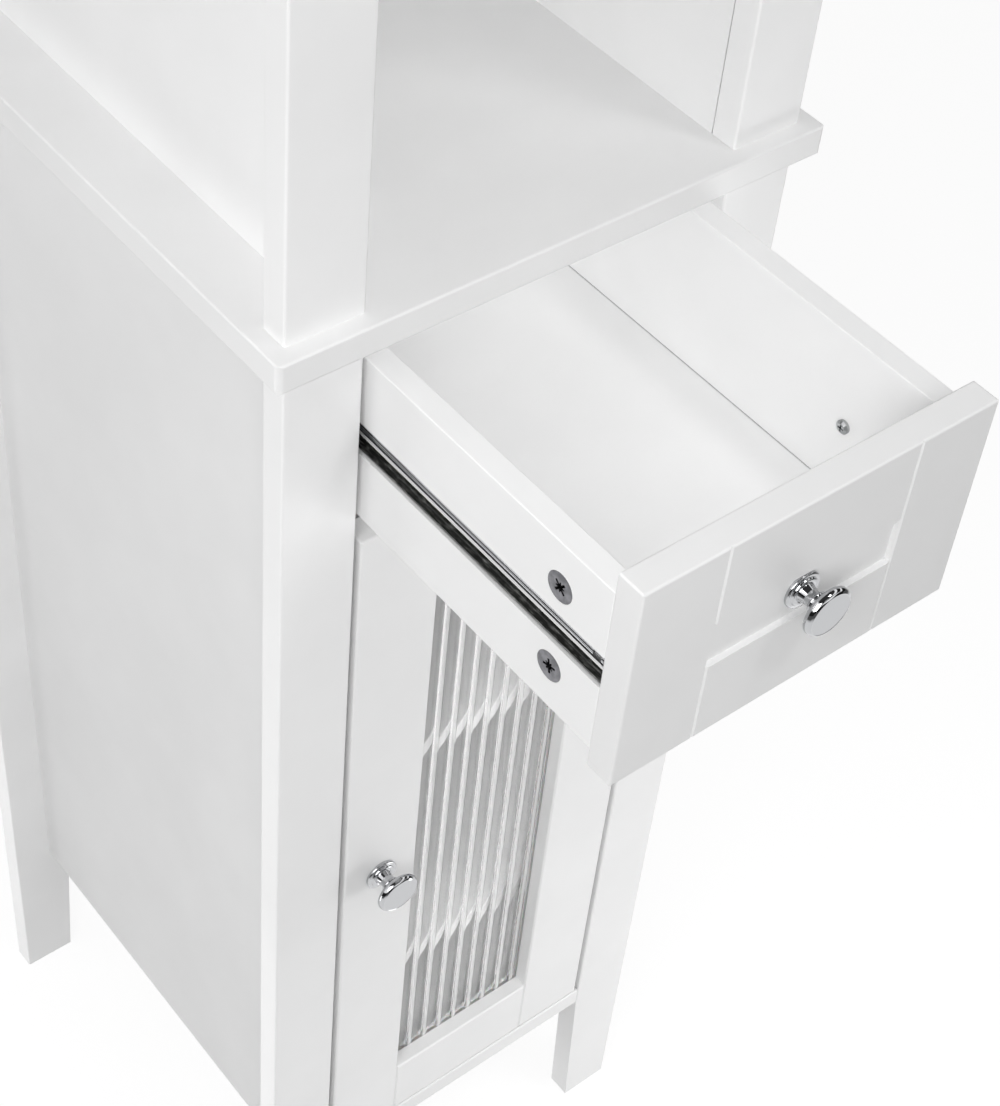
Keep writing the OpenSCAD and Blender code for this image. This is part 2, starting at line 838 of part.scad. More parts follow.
module drawer_rail(z) {
    in_drawer() difference() {
        intersection() {
            drawer_front_outline();
            block([-drawer_seam_x, drawer_seam_x], [-1, front_t + 1], z);
        }
        for (side = [-1, 1]) seam_vee(side * drawer_seam_x, [front_foot, front_top]);
        bottom_groove();
    }
}

field_top = front_mid + field_h / 2;
field_foot = front_mid - field_h / 2;

module drawer_rail_top() color(lacquer) drawer_rail([field_top, front_top + 1]);

module drawer_rail_bottom() color(lacquer) drawer_rail([front_foot - 1, field_foot]);

module drawer_field_panel() color(lacquer)
    in_drawer() difference() {
        block([-drawer_seam_x, drawer_seam_x], [field_depth, front_t], [field_foot, field_top]);
        rod_y(knob_screw_d / 2 + screw_clear, 0, [-1, front_t + 1], front_mid);
    }

module drawer_side(side) {
    in_drawer() on_side(side) difference() {
        eased_block([box_in, box_out], [front_t, box_rear], [box_foot, box_top], ease_r / 2, ease_r / 2);
        block([groove_floor, box_out + 1], [front_t - 1, box_rear + 1],
            [box_mid - slide_h / 2 - groove_clear, box_mid + slide_h / 2 + groove_clear]);
        bottom_groove();
        for (y = slide_screw_ys())
            rod_x(screw_d / 2 + screw_clear, [box_in - 1, groove_floor + 1], y, box_mid);
        for (z = cam_zs)
            rod_x(cam_d / 2 + screw_clear, [box_out - cam_depth, box_out + 1], front_t + cam_in, z);
        cam_bolt_holes();
        for (z = cam_zs) back_screw_at(z) flush_hole(back_screw_len);
    }
}

module drawer_side_left() color(lacquer) drawer_side(-1);

module drawer_side_right() color(lacquer) drawer_side(1);

cam_zs = [box_mid - cam_spacing / 2, box_mid + cam_spacing / 2];
cam_bolt_x = (box_in + box_out) / 2;
cam_bolt_front = front_t - 9;
back_screw_len = 35;

module drawer_back() color(lacquer)
    in_drawer() difference() {
        eased_block([-box_in, box_in], [box_rear - box_t, box_rear], [box_foot, box_top],
            ease_r / 2, ease_r / 2);
        bottom_groove();
        for (side = [-1, 1], z = cam_zs) on_side(side) back_screw_at(z) flush_hole(back_screw_len);
    }

module drawer_bottom() color(lacquer)
    in_drawer() block([-bottom_half, bottom_half],
        [front_t - bottom_seat, box_rear - box_t + bottom_seat],
        [bottom_z, bottom_z + bottom_t]);

// Turns a screw so that it points from the right drawer side into the back
module back_screw_at(z) {
    translate([box_out, box_rear - box_t / 2, z]) rotate([0, 90, 0]) children();
}

module drawer_screws() color(zinc)
    in_drawer() for (side = [-1, 1]) on_side(side) {
        for (z = cam_zs) back_screw_at(z) flush_screw(back_screw_len);
        for (y = slide_screw_ys())
            translate([box_in, y, box_mid]) rotate([0, -90, 0])
                pan_screw(groove_floor + slide_wall - box_in);
    }

module cam_bolt_holes() {
    for (side = [-1, 1], z = cam_zs)
        on_side(side) rod_y(cam_bolt_d / 2 + screw_clear, cam_bolt_x,
            [cam_bolt_front, front_t + cam_in], z);
}

// Discs with a cross slot that draw the front onto the sides
cam_rim = 0.4;

// A cross recess with a smaller cross between its arms
module star_slot(span, width, depth) {
    cross_slot(span, width, 0, depth);
    rotate([0, 0, 45]) cross_slot(span * 0.62, width * 0.6, 0, depth * 0.7);
}

module drawer_cam_locks() color(zinc)
    in_drawer() for (side = [-1, 1], z = cam_zs) on_side(side)
        difference() {
            translate([box_out - cam_depth, front_t + cam_in, z]) rotate([0, 90, 0]) {
                cylinder(r = cam_d / 2, h = cam_depth - cam_rim);
                translate([0, 0, cam_depth - cam_rim])
                    cylinder(r1 = cam_d / 2, r2 = cam_d / 2 - cam_rim, h = cam_rim);
            }
            translate([box_out, front_t + cam_in, z]) rotate([0, 90, 0])
                star_slot(cam_d * 0.46, cam_d * 0.11, 3.2);
            rod_y(cam_bolt_d / 2 + screw_clear, cam_bolt_x,
                [front_t, front_t + cam_in], z);
        }

module drawer_cam_bolts() color(zinc)
    in_drawer() for (side = [-1, 1], z = cam_zs) on_side(side)
        rod_y(cam_bolt_d / 2, cam_bolt_x, [cam_bolt_front, front_t + cam_in - 2], z);

// ---- Knobs ---------------------------------------------------------------

// A turned knob standing on z = 0: round-edged foot, waist, bead and head
module knob_shape() {
    head_r = knob_d / 2;
    foot_r = knob_foot_d / 2;
    head_under = knob_h - 2 * knob_rim_r;
    rotate_extrude() {
        square([foot_r - knob_foot_rim_r, 2 * knob_foot_rim_r]);
        translate([foot_r - knob_foot_rim_r, knob_foot_rim_r]) circle(knob_foot_rim_r);
        translate([knob_ring_r, 2 * knob_foot_rim_r]) circle(0.9);
        polygon([[0, knob_foot_rim_r], [knob_ring_r, 2 * knob_foot_rim_r + 0.7],
            [knob_waist_r, knob_waist_z], [knob_waist_r, knob_bead_z],
            [head_r - 3.6, head_under - 0.8], [head_r - knob_rim_r, head_under], [0, head_under]]);
        translate([knob_waist_r + 0.4, knob_bead_z]) circle(1);
        translate([0, head_under - 0.1]) square([head_r - knob_rim_r, 2 * knob_rim_r + 0.1]);
        translate([head_r - knob_rim_r, knob_h - knob_rim_r]) circle(knob_rim_r);
    }
}

module knob(x, y, z) {
    difference() {
        translate([x, y, z]) rotate([90, 0, 0]) knob_shape();
        rod_y(knob_screw_d / 2 + screw_clear, x, [y - knob_screw_grip - 0.5, y + 1], z);
    }
}

// The screw that holds a knob from behind, head on the plane back_y
module knob_screw(x, y, z, back_y) {
    translate([x, back_y, z]) rotate([-90, 0, 0])
        pan_screw(back_y - y + knob_screw_grip, knob_screw_d, knob_screw_d * 2);
}

module drawer_knob() color(chrome) in_drawer() knob(0, field_depth, front_mid);

module drawer_knob_screw() color(zinc)
    in_drawer() knob_screw(0, field_depth, front_mid, front_t);

// ---- Door ----------------------------------------------------------------

opening_half = leaf_w / 2 - door_frame_w;
opening_z = [door_foot + door_frame_w, door_top - door_frame_w];
glass_half = opening_half + rebate_w - glass_gap;
glass_z = [opening_z[0] - rebate_w + glass_gap, opening_z[1] + rebate_w - glass_gap];
glass_front = front_t - rebate_d;
glass_back = glass_front + glass_t;
door_knob_x = -(leaf_w / 2 - door_frame_w / 2);

module door_outline() {
    eased_block([-leaf_w / 2, leaf_w / 2], [0, front_t], [door_foot, door_top]);
}

module door_rebate() {
    block([-opening_half - rebate_w, opening_half + rebate_w], [glass_front, front_t + 1],
        [opening_z[0] - rebate_w, opening_z[1] + rebate_w]);
}

module door_stile(side) {
    in_case() difference() {
        intersection() {
            door_outline();
            on_side(side) block([opening_half, leaf_w / 2 + 1], [-1, front_t + 1],
                [door_foot - 1, door_top + 1]);
        }
        seam_vee(side * opening_half, [door_foot, door_top]);
        door_rebate();
        if (side > 0) cup_bores();
        if (side < 0)
            rod_y(knob_screw_d / 2 + screw_clear, door_knob_x, [-1, front_t + 1], door_mid);
        if (side < 0) strike_screw_at() flush_hole(strike_screw_len);
    }
}

module door_stile_left() color(lacquer) door_stile(-1);

module door_stile_right() color(lacquer) door_stile(1);

// A rail, with its glass-side edge chamfered like the stiles
module door_rail(z, inner_z) {
    in_case() difference() {
        intersection() {
            door_outline();
            block([-opening_half, opening_half], [-1, front_t + 1], z);
        }
        for (side = [-1, 1]) seam_vee(side * opening_half, [door_foot, door_top]);
        along_x([-opening_half - 1, opening_half + 1])
            polygon([[-0.1, inner_z - vee - 0.1], [vee, inner_z], [-0.1, inner_z + vee + 0.1]]);
        door_rebate();
    }
}

module door_rail_top() color(lacquer)
    door_rail([opening_z[1], door_top + 1], opening_z[1]);

module door_rail_bottom() color(lacquer)
    door_rail([door_foot - 1, opening_z[0]], opening_z[0]);

// Flat at the back, with upright round ribs on the front
module door_glass() color(glass_tint, 0.4)
    in_case() translate([0, 0, glass_z[0]]) linear_extrude(glass_z[1] - glass_z[0])
        glass_shape();

// One rib stands on the pane's middle; each is a flat slice of a circle
rib_r = (pow(rib_w / 2, 2) + rib_h * rib_h) / (2 * rib_h);
rib_side_count = floor((glass_half - rib_w / 2) / rib_pitch);

module glass_shape() {
    face = glass_front + rib_h;
    translate([-glass_half, face]) square([2 * glass_half, glass_back - face]);
    for (i = [-rib_side_count : rib_side_count])
        translate([i * rib_pitch, 0])
            intersection() {
                translate([0, glass_front + rib_r]) circle(rib_r, $fn = 80);
                translate([-rib_w, glass_front - 1]) square([2 * rib_w, rib_h + 1.5]);
            }
}

bead_w = rebate_w - 0.2;

// Four strips that hold the glass in its rebate from behind
module glass_beads() color(nylon)
    in_case() {
        x = opening_half + rebate_w - 0.1;
        z = [opening_z[0] - rebate_w + 0.1, opening_z[1] + rebate_w - 0.1];
        for (side = [-1, 1])
            on_side(side) block([x - bead_w, x], [glass_back, front_t], z);
        for (end = [z[0], z[1] - bead_w])
            block([bead_w - x, x - bead_w], [glass_back, front_t], [end, end + bead_w]);
    }

module door_knob() color(chrome) in_case() knob(door_knob_x, 0, door_mid);

module door_knob_screw() color(zinc) in_case() knob_screw(door_knob_x, 0, door_mid, front_t);

// ---- Hinges --------------------------------------------------------------
// Each hinge has one pin, in a cup sunk in the door. The arm reaches over the
// door's edge from a plate on the side panel and hooks into the cup, so the
// door's edge swings clear inside the hook.

module cup_bores() {
    for (z = hinge_zs) {
        rod_y(cup_d / 2 + 0.05, cup_x, [front_t - cup_depth - 0.05, front_t + 1], z);
        for (end = [-1, 1]) cup_screw_at(z + end * hinge_screw_z) flush_hole(cup_screw_len);
    }
}

cup_screw_len = 11;

// Turns a screw so that it points from the cup's flange into the door
module cup_screw_at(z) {
    translate([cup_x, front_t + cup_flange, z]) rotate([-90, 0, 0]) children();
}

module hinge_cup(z) {
    flange_z_half = hinge_screw_z + screw_head_d / 2 + 2;
    ear_in = arm_h / 2 + 0.4;
    ear_t = 2;
    ear_r = hinge_pin_d / 2 + 1.1;
    floor_y = front_t - cup_depth;
    difference() {
        union() {
            rod_y(cup_d / 2, cup_x, [floor_y, front_t], z);
            intersection() {
                union() {
                    rod_y(cup_d / 2 + cup_land - 1, cup_x, [front_t, front_t + cup_flange], z);
                    block([cup_x - cup_flange_w / 2, cup_x + cup_flange_w / 2],
                        [front_t, front_t + cup_flange], [z - flange_z_half, z + flange_z_half]);
                }
                block([cup_x - cup_d, leaf_w / 2 - 1], [front_t - 1, front_t + cup_flange + 1],
                    [z - cup_d * 2, z + cup_d * 2]);
            }
        }
        difference() {
            rod_y(cup_d / 2 - cup_wall, cup_x, [floor_y + cup_wall, front_t + 5], z);
            for (end = [-1, 1])
                translate([0, 0, z + end * (ear_in + ear_t / 2) - ear_t / 2])
                    linear_extrude(ear_t) hinge_ear_shape(ear_r, floor_y);
        }
        translate([pivot_x, pivot_back, z - cup_d / 2 + 2])
            cylinder(r = hinge_pin_d / 2 + 0.02, h = cup_d - 4);
        for (end = [-1, 1]) cup_screw_at(z + end * hinge_screw_z) flush_hole(cup_screw_len);
    }
}

// An ear that stands up from the cup's floor round the pin
module hinge_ear_shape(r, floor_y) {
    translate([pivot_x, pivot_back]) circle(r);
    translate([pivot_x - r, floor_y]) square([2 * r, pivot_back - floor_y]);
}

module hinge_cups() color(steel) in_case() for (z = hinge_zs) hinge_cup(z);

hinge_pin_len = arm_h + 5.2;

module hinge_pins() color(zinc)
    in_case() for (z = hinge_zs)
        translate([pivot_x, pivot_back, z - hinge_pin_len / 2])
            cylinder(r = hinge_pin_d / 2, h = hinge_pin_len);

// The hooked arm, seen from above
module hinge_arm_shape() {
    half = arm_t / 2;
    knuckle_r = hinge_pin_d / 2 + pin_clear + 0.75;
    difference() {
        union() {
            translate([pivot_x, pivot_back]) circle(knuckle_r);
            translate([column_x - half, pivot_back - half])
                square([pivot_x - column_x + half, arm_t]);
            translate([column_x - half, pivot_back - half])
                square([arm_t, bridge_y + arm_t - pivot_back + half]);
            translate([column_x - half, bridge_y])
                square([plate_face - column_x + half, arm_t]);
            translate([plate_face - arm_t, bridge_y])
                square([arm_t, arm_end - bridge_y]);
        }
        translate([pivot_x, pivot_back]) circle(hinge_pin_d / 2 + pin_clear);
    }
}

module hinge_arms() color(steel)
    in_case() for (z = hinge_zs) difference() {
        translate([0, 0, z - arm_h / 2]) linear_extrude(arm_h) hinge_arm_shape();
        rod_x(screw_d / 2 + screw_clear, [plate_face - arm_t - 1, plate_face + 1], plate_mid_y, z);
    }

// Round-ended wings above and below the boss
module plate_wings(z) {
    block([post_in - plate_wing_t, post_in],
        [plate_mid_y - plate_w / 2, plate_mid_y + plate_w / 2],
        [z - plate_screw_z, z + plate_screw_z]);
    for (end = [-1, 1])
        rod_x(plate_w / 2, [post_in - plate_wing_t, post_in], plate_mid_y, z + end * plate_screw_z);
}

// A boss for the arm on a flat plate with two screw wings
module hinge_plate(z) {
    difference() {
        union() {
            block([plate_face, post_in], [arm_end - plate_len, arm_end],
                [z - plate_w / 2, z + plate_w / 2]);
            plate_wings(z);
        }
        for (end = [-1, 1]) plate_screw_at(z + end * plate_screw_z) flush_hole(plate_screw_len);
        rod_x(screw_d / 2 + screw_clear, [plate_face - 1, post_in - 0.5], plate_mid_y, z);
    }
}

module hinge_plates() color(steel) in_case() for (z = hinge_zs) hinge_plate(z);

plate_screw_len = 13;

// Turns a screw so that it points from the plate's wing into the side panel
module plate_screw_at(z) {
    translate([post_in - plate_wing_t, plate_mid_y, z]) rotate([0, -90, 0]) children();
}

module plate_screw_holes() {
    for (z = hinge_zs, end = [-1, 1])
        rod_x(screw_d / 2 + screw_clear, [post_in - 1, post_in + plate_screw_len - 1],
            plate_mid_y, z + end * plate_screw_z);
}

// ---- Magnetic catch ------------------------------------------------------

catch_x = -(leaf_w / 2 - 28);
catch_w = 34;
catch_h = 12;
catch_depth = 14;
strike_t = 1;
catch_front = front_t + strike_t + 0.4;
strike_screw_len = 9;
catch_screw_len = 8;
catch_screw_xs = [catch_x - 13, catch_x + 13];
catch_screw_y = catch_front + catch_depth / 2;

module magnetic_catch() color(nylon)
    in_case() difference() {
        block([catch_x - catch_w / 2, catch_x + catch_w / 2],
            [catch_front, catch_front + catch_depth],
            [divider_under - catch_h, divider_under]);
        for (x = catch_screw_xs)
            translate([x, catch_screw_y, divider_under - catch_h - 1])
                cylinder(r = screw_head_d / 2 + 0.5, h = catch_h - 2);
        for (x = catch_screw_xs)
            translate([x, catch_screw_y, divider_under - catch_h])
                cylinder(r = screw_d / 2 + screw_clear, h = catch_h + 1);
    }

module catch_screw_holes() {
    for (x = catch_screw_xs)
        translate([x, catch_screw_y, divider_under - 1])
            cylinder(r = screw_d / 2 + screw_clear, h = catch_screw_len + 1);
}

module strike_screw_at() {
    translate([catch_x, front_t + strike_t, divider_under - catch_h / 2])
        rotate([-90, 0, 0]) children();
}

module strike_plate() color(steel)
    in_case() difference() {
        block([catch_x - 15, catch_x + 15], [front_t, front_t + strike_t],
            [divider_under - catch_h, divider_under - 2]);
        strike_screw_at() flush_hole(strike_screw_len);
    }

module case_screws() color(zinc)
    in_case() {
        for (side = [-1, 1], y = cabinet_slide_screw_ys)
            on_side(side) cabinet_slide_screw_at(y)
                flush_screw(slide_screw_len, small_screw_d, small_head_d);
        for (z = hinge_zs) {
            for (end = [-1, 1])
                plate_screw_at(z + end * plate_screw_z) flush_screw(plate_screw_len);
            translate([plate_face - arm_t, plate_mid_y, z]) rotate([0, -90, 0])
                pan_screw(arm_t + plate_h - 1);
        }
        for (x = catch_screw_xs)
            translate([x, catch_screw_y, divider_under - 3]) rotate([180, 0, 0])
                pan_screw(catch_screw_len + 2);
    }

module door_screws() color(zinc)
    in_case() {
        for (z = hinge_zs, end = [-1, 1])
            cup_screw_at(z + end * hinge_screw_z) flush_screw(cup_screw_len);
        strike_screw_at() flush_screw(strike_screw_len);
    }

// ---- Assembly ------------------------------------------------------------

top_board();
mid_board();
bottom_board();
drawer_divider();
lower_side_left();
lower_side_right();
upper_side_left();
upper_side_right();
lower_back_panel();
upper_back_panel();
front_leg_post_left();
front_leg_post_right();
rear_leg_post_left();
rear_leg_post_right();
upper_front_post_left();
upper_front_post_right();
upper_rear_post_left();
upper_rear_post_right();
open_shelf_lower();
open_shelf_upper();
inner_shelf_lower();
inner_shelf_upper();
shelf_pins();
slide_cabinet_member_left();
slide_cabinet_member_right();
hinge_arms();
hinge_plates();
magnetic_catch();
case_screws();
case_dowels();
slide_cage_left();
slide_cage_right();
drawer_stile_left();
drawer_stile_right();
drawer_rail_top();
drawer_rail_bottom();
drawer_field_panel();
drawer_side_left();
drawer_side_right();
drawer_back();
drawer_bottom();
slide_drawer_member_left();
slide_drawer_member_right();
drawer_screws();
drawer_cam_locks();
drawer_cam_bolts();
drawer_knob();
drawer_knob_screw();
door_stile_left();
door_stile_right();
door_rail_top();
door_rail_bottom();
door_glass();
glass_beads();
door_knob();
door_knob_screw();
hinge_cups();
hinge_pins();
door_screws();
strike_plate();
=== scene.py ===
"""Looks of a bathroom storage tower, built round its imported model.

The tower is white lacquered fibreboard: a cabinet on four legs with a pulled-out
drawer and a reeded-glass door, and open shelves between posts above it. The
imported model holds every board, rail and fitting at its real size; this script
gives each one its finish and replaces the turned, cast and rolled pieces by
finer ones.
"""

import json
import logging
import math
from dataclasses import dataclass, field
from enum import Enum
from functools import cache
from typing import Iterable, Sequence

import bmesh
import bpy
from bmesh.types import BMEdge, BMesh, BMVert
from bpy.types import Collection, Material, Node, NodeSocket, World
from mathutils import Matrix, Vector

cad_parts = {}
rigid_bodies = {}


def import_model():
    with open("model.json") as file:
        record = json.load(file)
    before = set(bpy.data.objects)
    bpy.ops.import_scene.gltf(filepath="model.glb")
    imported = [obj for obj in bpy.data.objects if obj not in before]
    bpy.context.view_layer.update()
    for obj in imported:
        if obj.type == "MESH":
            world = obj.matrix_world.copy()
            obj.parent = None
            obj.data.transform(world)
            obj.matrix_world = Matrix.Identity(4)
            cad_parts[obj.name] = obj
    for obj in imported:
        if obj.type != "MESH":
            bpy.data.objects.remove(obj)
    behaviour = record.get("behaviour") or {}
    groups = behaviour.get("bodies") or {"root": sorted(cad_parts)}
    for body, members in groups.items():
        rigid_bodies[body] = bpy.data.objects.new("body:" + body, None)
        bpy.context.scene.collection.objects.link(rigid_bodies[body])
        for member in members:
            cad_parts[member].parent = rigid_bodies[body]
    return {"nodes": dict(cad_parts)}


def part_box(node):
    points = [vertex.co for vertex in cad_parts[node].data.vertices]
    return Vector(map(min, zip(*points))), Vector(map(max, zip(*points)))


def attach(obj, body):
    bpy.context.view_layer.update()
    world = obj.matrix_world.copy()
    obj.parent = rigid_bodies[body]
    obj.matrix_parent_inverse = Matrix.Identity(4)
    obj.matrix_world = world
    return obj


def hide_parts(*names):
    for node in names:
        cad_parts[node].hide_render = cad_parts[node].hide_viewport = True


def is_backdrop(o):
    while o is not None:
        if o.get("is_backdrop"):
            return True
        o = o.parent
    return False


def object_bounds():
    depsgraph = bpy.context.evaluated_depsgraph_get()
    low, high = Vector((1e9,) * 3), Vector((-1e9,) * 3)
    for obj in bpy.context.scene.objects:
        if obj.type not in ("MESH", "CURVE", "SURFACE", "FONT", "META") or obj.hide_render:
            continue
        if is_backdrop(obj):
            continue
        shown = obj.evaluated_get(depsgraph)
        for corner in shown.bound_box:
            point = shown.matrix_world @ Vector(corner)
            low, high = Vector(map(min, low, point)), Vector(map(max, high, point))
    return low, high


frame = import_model()
CAD_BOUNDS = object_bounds()

LOG = logging.getLogger("tower")
MM = 0.001

Colour = tuple[float, float, float, float]
Stops = Sequence[tuple[float, Colour]]
Triple = tuple[float, float, float]
Span = tuple[float, float]
Names = tuple[str, ...]


# ---- Colours and nodes ----


def srgb(hex_colour: str) -> Colour:
    """Turns an sRGB hex colour into the linear values that a shader takes, by the standard's curve.

    Args:
        hex_colour: six hex digits, such as "F2F2F0".

    Returns:
        Linear red, green and blue, with an alpha of 1.
    """
    channels = (int(hex_colour[i : i + 2], 16) / 255 for i in (0, 2, 4))
    linear = (c / 12.92 if c <= 0.04045 else ((c + 0.055) / 1.055) ** 2.4 for c in channels)
    return (*linear, 1.0)


def fade(span: Span, low: str, high: str) -> Stops:
    """Gives the stops of a colour ramp that passes from one hex colour to another over a span."""
    return list(zip(span, (srgb(low), srgb(high))))


def grey(value: float) -> Colour:
    """Gives a linear grey as a colour; above 1 it is brighter than white."""
    return (value, value, value, 1.0)


class Tree:
    """A node tree that grows by one small call per node."""

    def __init__(self, owner: Material | World, space: str = "Object") -> None:
        """Starts a tree that holds only its coordinates, as self.at.

        Args:
            owner: the material or world that the tree belongs to.
            space: which of the Texture Coordinate node's outputs they are.
        """
        owner.use_nodes = True
        self.tree = owner.node_tree
        self.tree.nodes.clear()
        self.at = self.add("ShaderNodeTexCoord").outputs[space]

    def add(self, kind: str, settings: dict | None = None, stops: Stops = (), **links: object) -> Node:
        """Adds a node with its settings, socket values and links.

        Args:
            kind: the node's type, such as "ShaderNodeMix".
            settings: attributes to set on the node before its sockets.
            stops: position and colour of each stop of a colour ramp, from low to high.
            **links: socket names, with underscores for spaces, or "i0" for the
                first input; each takes a value, an output socket or a node,
                which stands for its first output.

        Returns:
            The new node.
        """
        made = self.tree.nodes.new(kind)
        for name, value in (settings or {}).items():
            setattr(made, name, value)
        for name, value in links.items():
            numbered = name[0] == "i" and name[1:].isdigit()
            socket = made.inputs[int(name[1:]) if numbered else name.replace("_", " ")]
            if isinstance(value, (Node, NodeSocket)):
                self.tree.links.new(value.outputs[0] if isinstance(value, Node) else value, socket)
            else:
                socket.default_value = value
        if stops:
            points = made.color_ramp.elements
            while len(points) < len(stops):
                points.new(0.5)
            for point, (position, colour) in zip(points, stops):
                point.position = position
                point.color = colour
        return made


@dataclass(frozen=True)
class Noise:
    """A noise pattern: how large its blotches are, and how many octaves refine them."""

    size_mm: float
    octaves: float

    @property
    def sockets(self) -> dict[str, float]:
        """Gives the values of the noise node's sockets."""
        return {"Scale": 1 / (self.size_mm * MM), "Detail": self.octaves}


@dataclass(frozen=True)
class Relief:
    """A bump: its strength, and how deep its pattern goes."""

    strength: float
    depth_mm: float

    @property
    def sockets(self) -> dict[str, float]:
        """Gives the values of the bump node's sockets."""
        return {"Strength": self.strength, "Distance": self.depth_mm * MM}


# Nearly all of a noise pattern's values lie in this span.
NOISE_SPAN = {"i1": 0.3, "i2": 0.7}
# Settings of nodes that mix colours, multiply two values and take the larger of two.
COLOURS = {"data_type": "RGBA"}
TIMES = {"operation": "MULTIPLY"}
LARGER = {"operation": "MAXIMUM"}
# Rays that an ambient occlusion node sends out at each point.
NEARBY_RAYS = {"samples": 6}


# ---- Finishes ----


@dataclass(frozen=True)
class Finish:
    """What every finish shares: its name and the name of a record's slot, which nothing here reads."""

    name: str
    slot: str

    def material(self) -> Material:
        """Builds the material from the finish's own nodes and an output.

        Returns:
            The new material.
        """
        made = bpy.data.materials.new(self.name)
        tree = Tree(made)
        tree.add("ShaderNodeOutputMaterial", Surface=self.surface(tree))
        return made

    def surface(self, tree: Tree) -> Node:
        """Adds the finish's own nodes; each finish has its own way.

        Args:
            tree: the material's tree.

        Returns:
            The last shader.
        """
        raise NotImplementedError


@dataclass(frozen=True)
class SprayedLacquer(Finish):
    """Satin polyurethane lacquer sprayed on fibreboard.

    Light sits on it evenly, with a soft, slightly broken shine: the spray dries
    to a faint orange peel, and the board's skin lets a cloudy tone through. Shade
    is painted into the joints and inner corners as thin dark lines.
    """

    colour: str = "F4F4F4"
    cloud: str = "F0F0F0"
    # Colour of the painted shade in joints and inner corners.
    joint: str = "6A6A6D"
    roughness: float = 0.34
    duller: float = 0.05
    shinier: float = 0.04
    ior: float = 1.5
    clouds: Noise = Noise(90.0, 3.0)
    cloud_span: Span = (0.35, 0.65)
    haze: Noise = Noise(14.0, 2.0)
    peel: Noise = Noise(2.2, 1.5)
    peel_relief: Relief = Relief(0.35, 0.012)
    # How far the occlusion looks, and the span over which the painted shade fades in.
    joint_shade_reach_mm: float = 2.5
    joint_shade_open: Span = (0.03, 0.3)

    def surface(self, tree: Tree) -> Node:
        """Adds a cloudy white, a broken shine, orange peel and painted shade in the joints.

        Args:
            tree: the material's tree.

        Returns:
            The lacquer's shader.
        """
        clouds = tree.add("ShaderNodeTexNoise", Vector=tree.at, **self.clouds.sockets)
        tint = tree.add("ShaderNodeValToRGB", stops=fade(self.cloud_span, self.cloud, self.colour),
                        Fac=clouds)
        # Painted shade: the colour darkens towards the joint colour where nearby faces hide the point.
        near = tree.add("ShaderNodeAmbientOcclusion", NEARBY_RAYS, Distance=self.joint_shade_reach_mm * MM)
        bare = tree.add("ShaderNodeMapRange", i0=near.outputs["AO"], i1=self.joint_shade_open[0],
                        i2=self.joint_shade_open[1], i3=1.0, i4=0.0)
        shaded_coat = tree.add("ShaderNodeMix", COLOURS, i0=bare, i6=tint, i7=srgb(self.joint))
        haze = tree.add("ShaderNodeTexNoise", Vector=tree.at, **self.haze.sockets)
        shine = tree.add("ShaderNodeMapRange", i0=haze, **NOISE_SPAN,
                         i3=self.roughness - self.shinier, i4=self.roughness + self.duller)
        peel = tree.add("ShaderNodeTexNoise", Vector=tree.at, **self.peel.sockets)
        bump = tree.add("ShaderNodeBump", Height=peel, **self.peel_relief.sockets)
        return tree.add("ShaderNodeBsdfPrincipled", Base_Color=shaded_coat.outputs[2], Roughness=shine,
                        IOR=self.ior, Normal=bump)


@dataclass(frozen=True)
class PolishedChrome(Finish):
    """Bright chromium plate on a turned zinc knob.

    It mirrors the room; buffing leaves very fine marks that only soften the
    brightest lights.
    """

    colour: str = "C1C2C4"
    roughness: float = 0.025
    shinier: float = 0.6
    duller: float = 1.6
    # Real buffing marks are finer than 0.05 mm: drawn as coarse as it takes to show.
    marks: Noise = Noise(0.35, 2.0)

    def surface(self, tree: Tree) -> Node:
        """Adds chromium's own grey and a trace of buffing.

        Args:
            tree: the material's tree.

        Returns:
            The plate's shader.
        """
        marks = tree.add("ShaderNodeTexNoise", Vector=tree.at, **self.marks.sockets)
        shine = tree.add("ShaderNodeMapRange", i0=marks, **NOISE_SPAN,
                         i3=self.roughness * self.shinier, i4=self.roughness * self.duller)
        return tree.add("ShaderNodeBsdfPrincipled", Base_Color=srgb(self.colour), Metallic=1.0,
                        Roughness=shine)


@dataclass(frozen=True)
class PlatedSteel(Finish):
    """Zinc or nickel plate on rolled or turned steel.

    Rolling leaves fine lines along the strip, and the plate dulls them to a
    soft, streaky shine with a few darker patches.
    """

    colour: str = "C4C5C6"
    patch: str = "A4A6A7"
    roughness: float = 0.16
    shinier: float = 0.6
    duller: float = 1.6
    # Real rolling lines are about 0.1 mm apart: drawn as coarse as it takes to show.
    lines: Noise = Noise(0.5, 3.0)
    line_relief: Relief = Relief(0.25, 0.01)
    run: Triple = (1.0, 0.05, 1.0)
    patches: Noise = Noise(9.0, 4.0)
    patch_span: Span = (0.38, 0.58)

    def surface(self, tree: Tree) -> Node:
        """Adds streaks along the strip and dull patches.

        Args:
            tree: the material's tree.

        Returns:
            The plate's shader.
        """
        along = tree.add("ShaderNodeMapping", Vector=tree.at, Scale=self.run)
        lines = tree.add("ShaderNodeTexNoise", Vector=along, **self.lines.sockets)
        patches = tree.add("ShaderNodeTexNoise", Vector=tree.at, **self.patches.sockets)
        tint = tree.add("ShaderNodeValToRGB", stops=fade(self.patch_span, self.patch, self.colour),
                        Fac=patches)
        shine = tree.add("ShaderNodeMapRange", i0=lines, **NOISE_SPAN,
                         i3=self.roughness * self.shinier, i4=self.roughness * self.duller)
        bump = tree.add("ShaderNodeBump", Height=lines, **self.line_relief.sockets)
        return tree.add("ShaderNodeBsdfPrincipled", Base_Color=tint, Metallic=1.0, Roughness=shine,
                        Normal=bump)


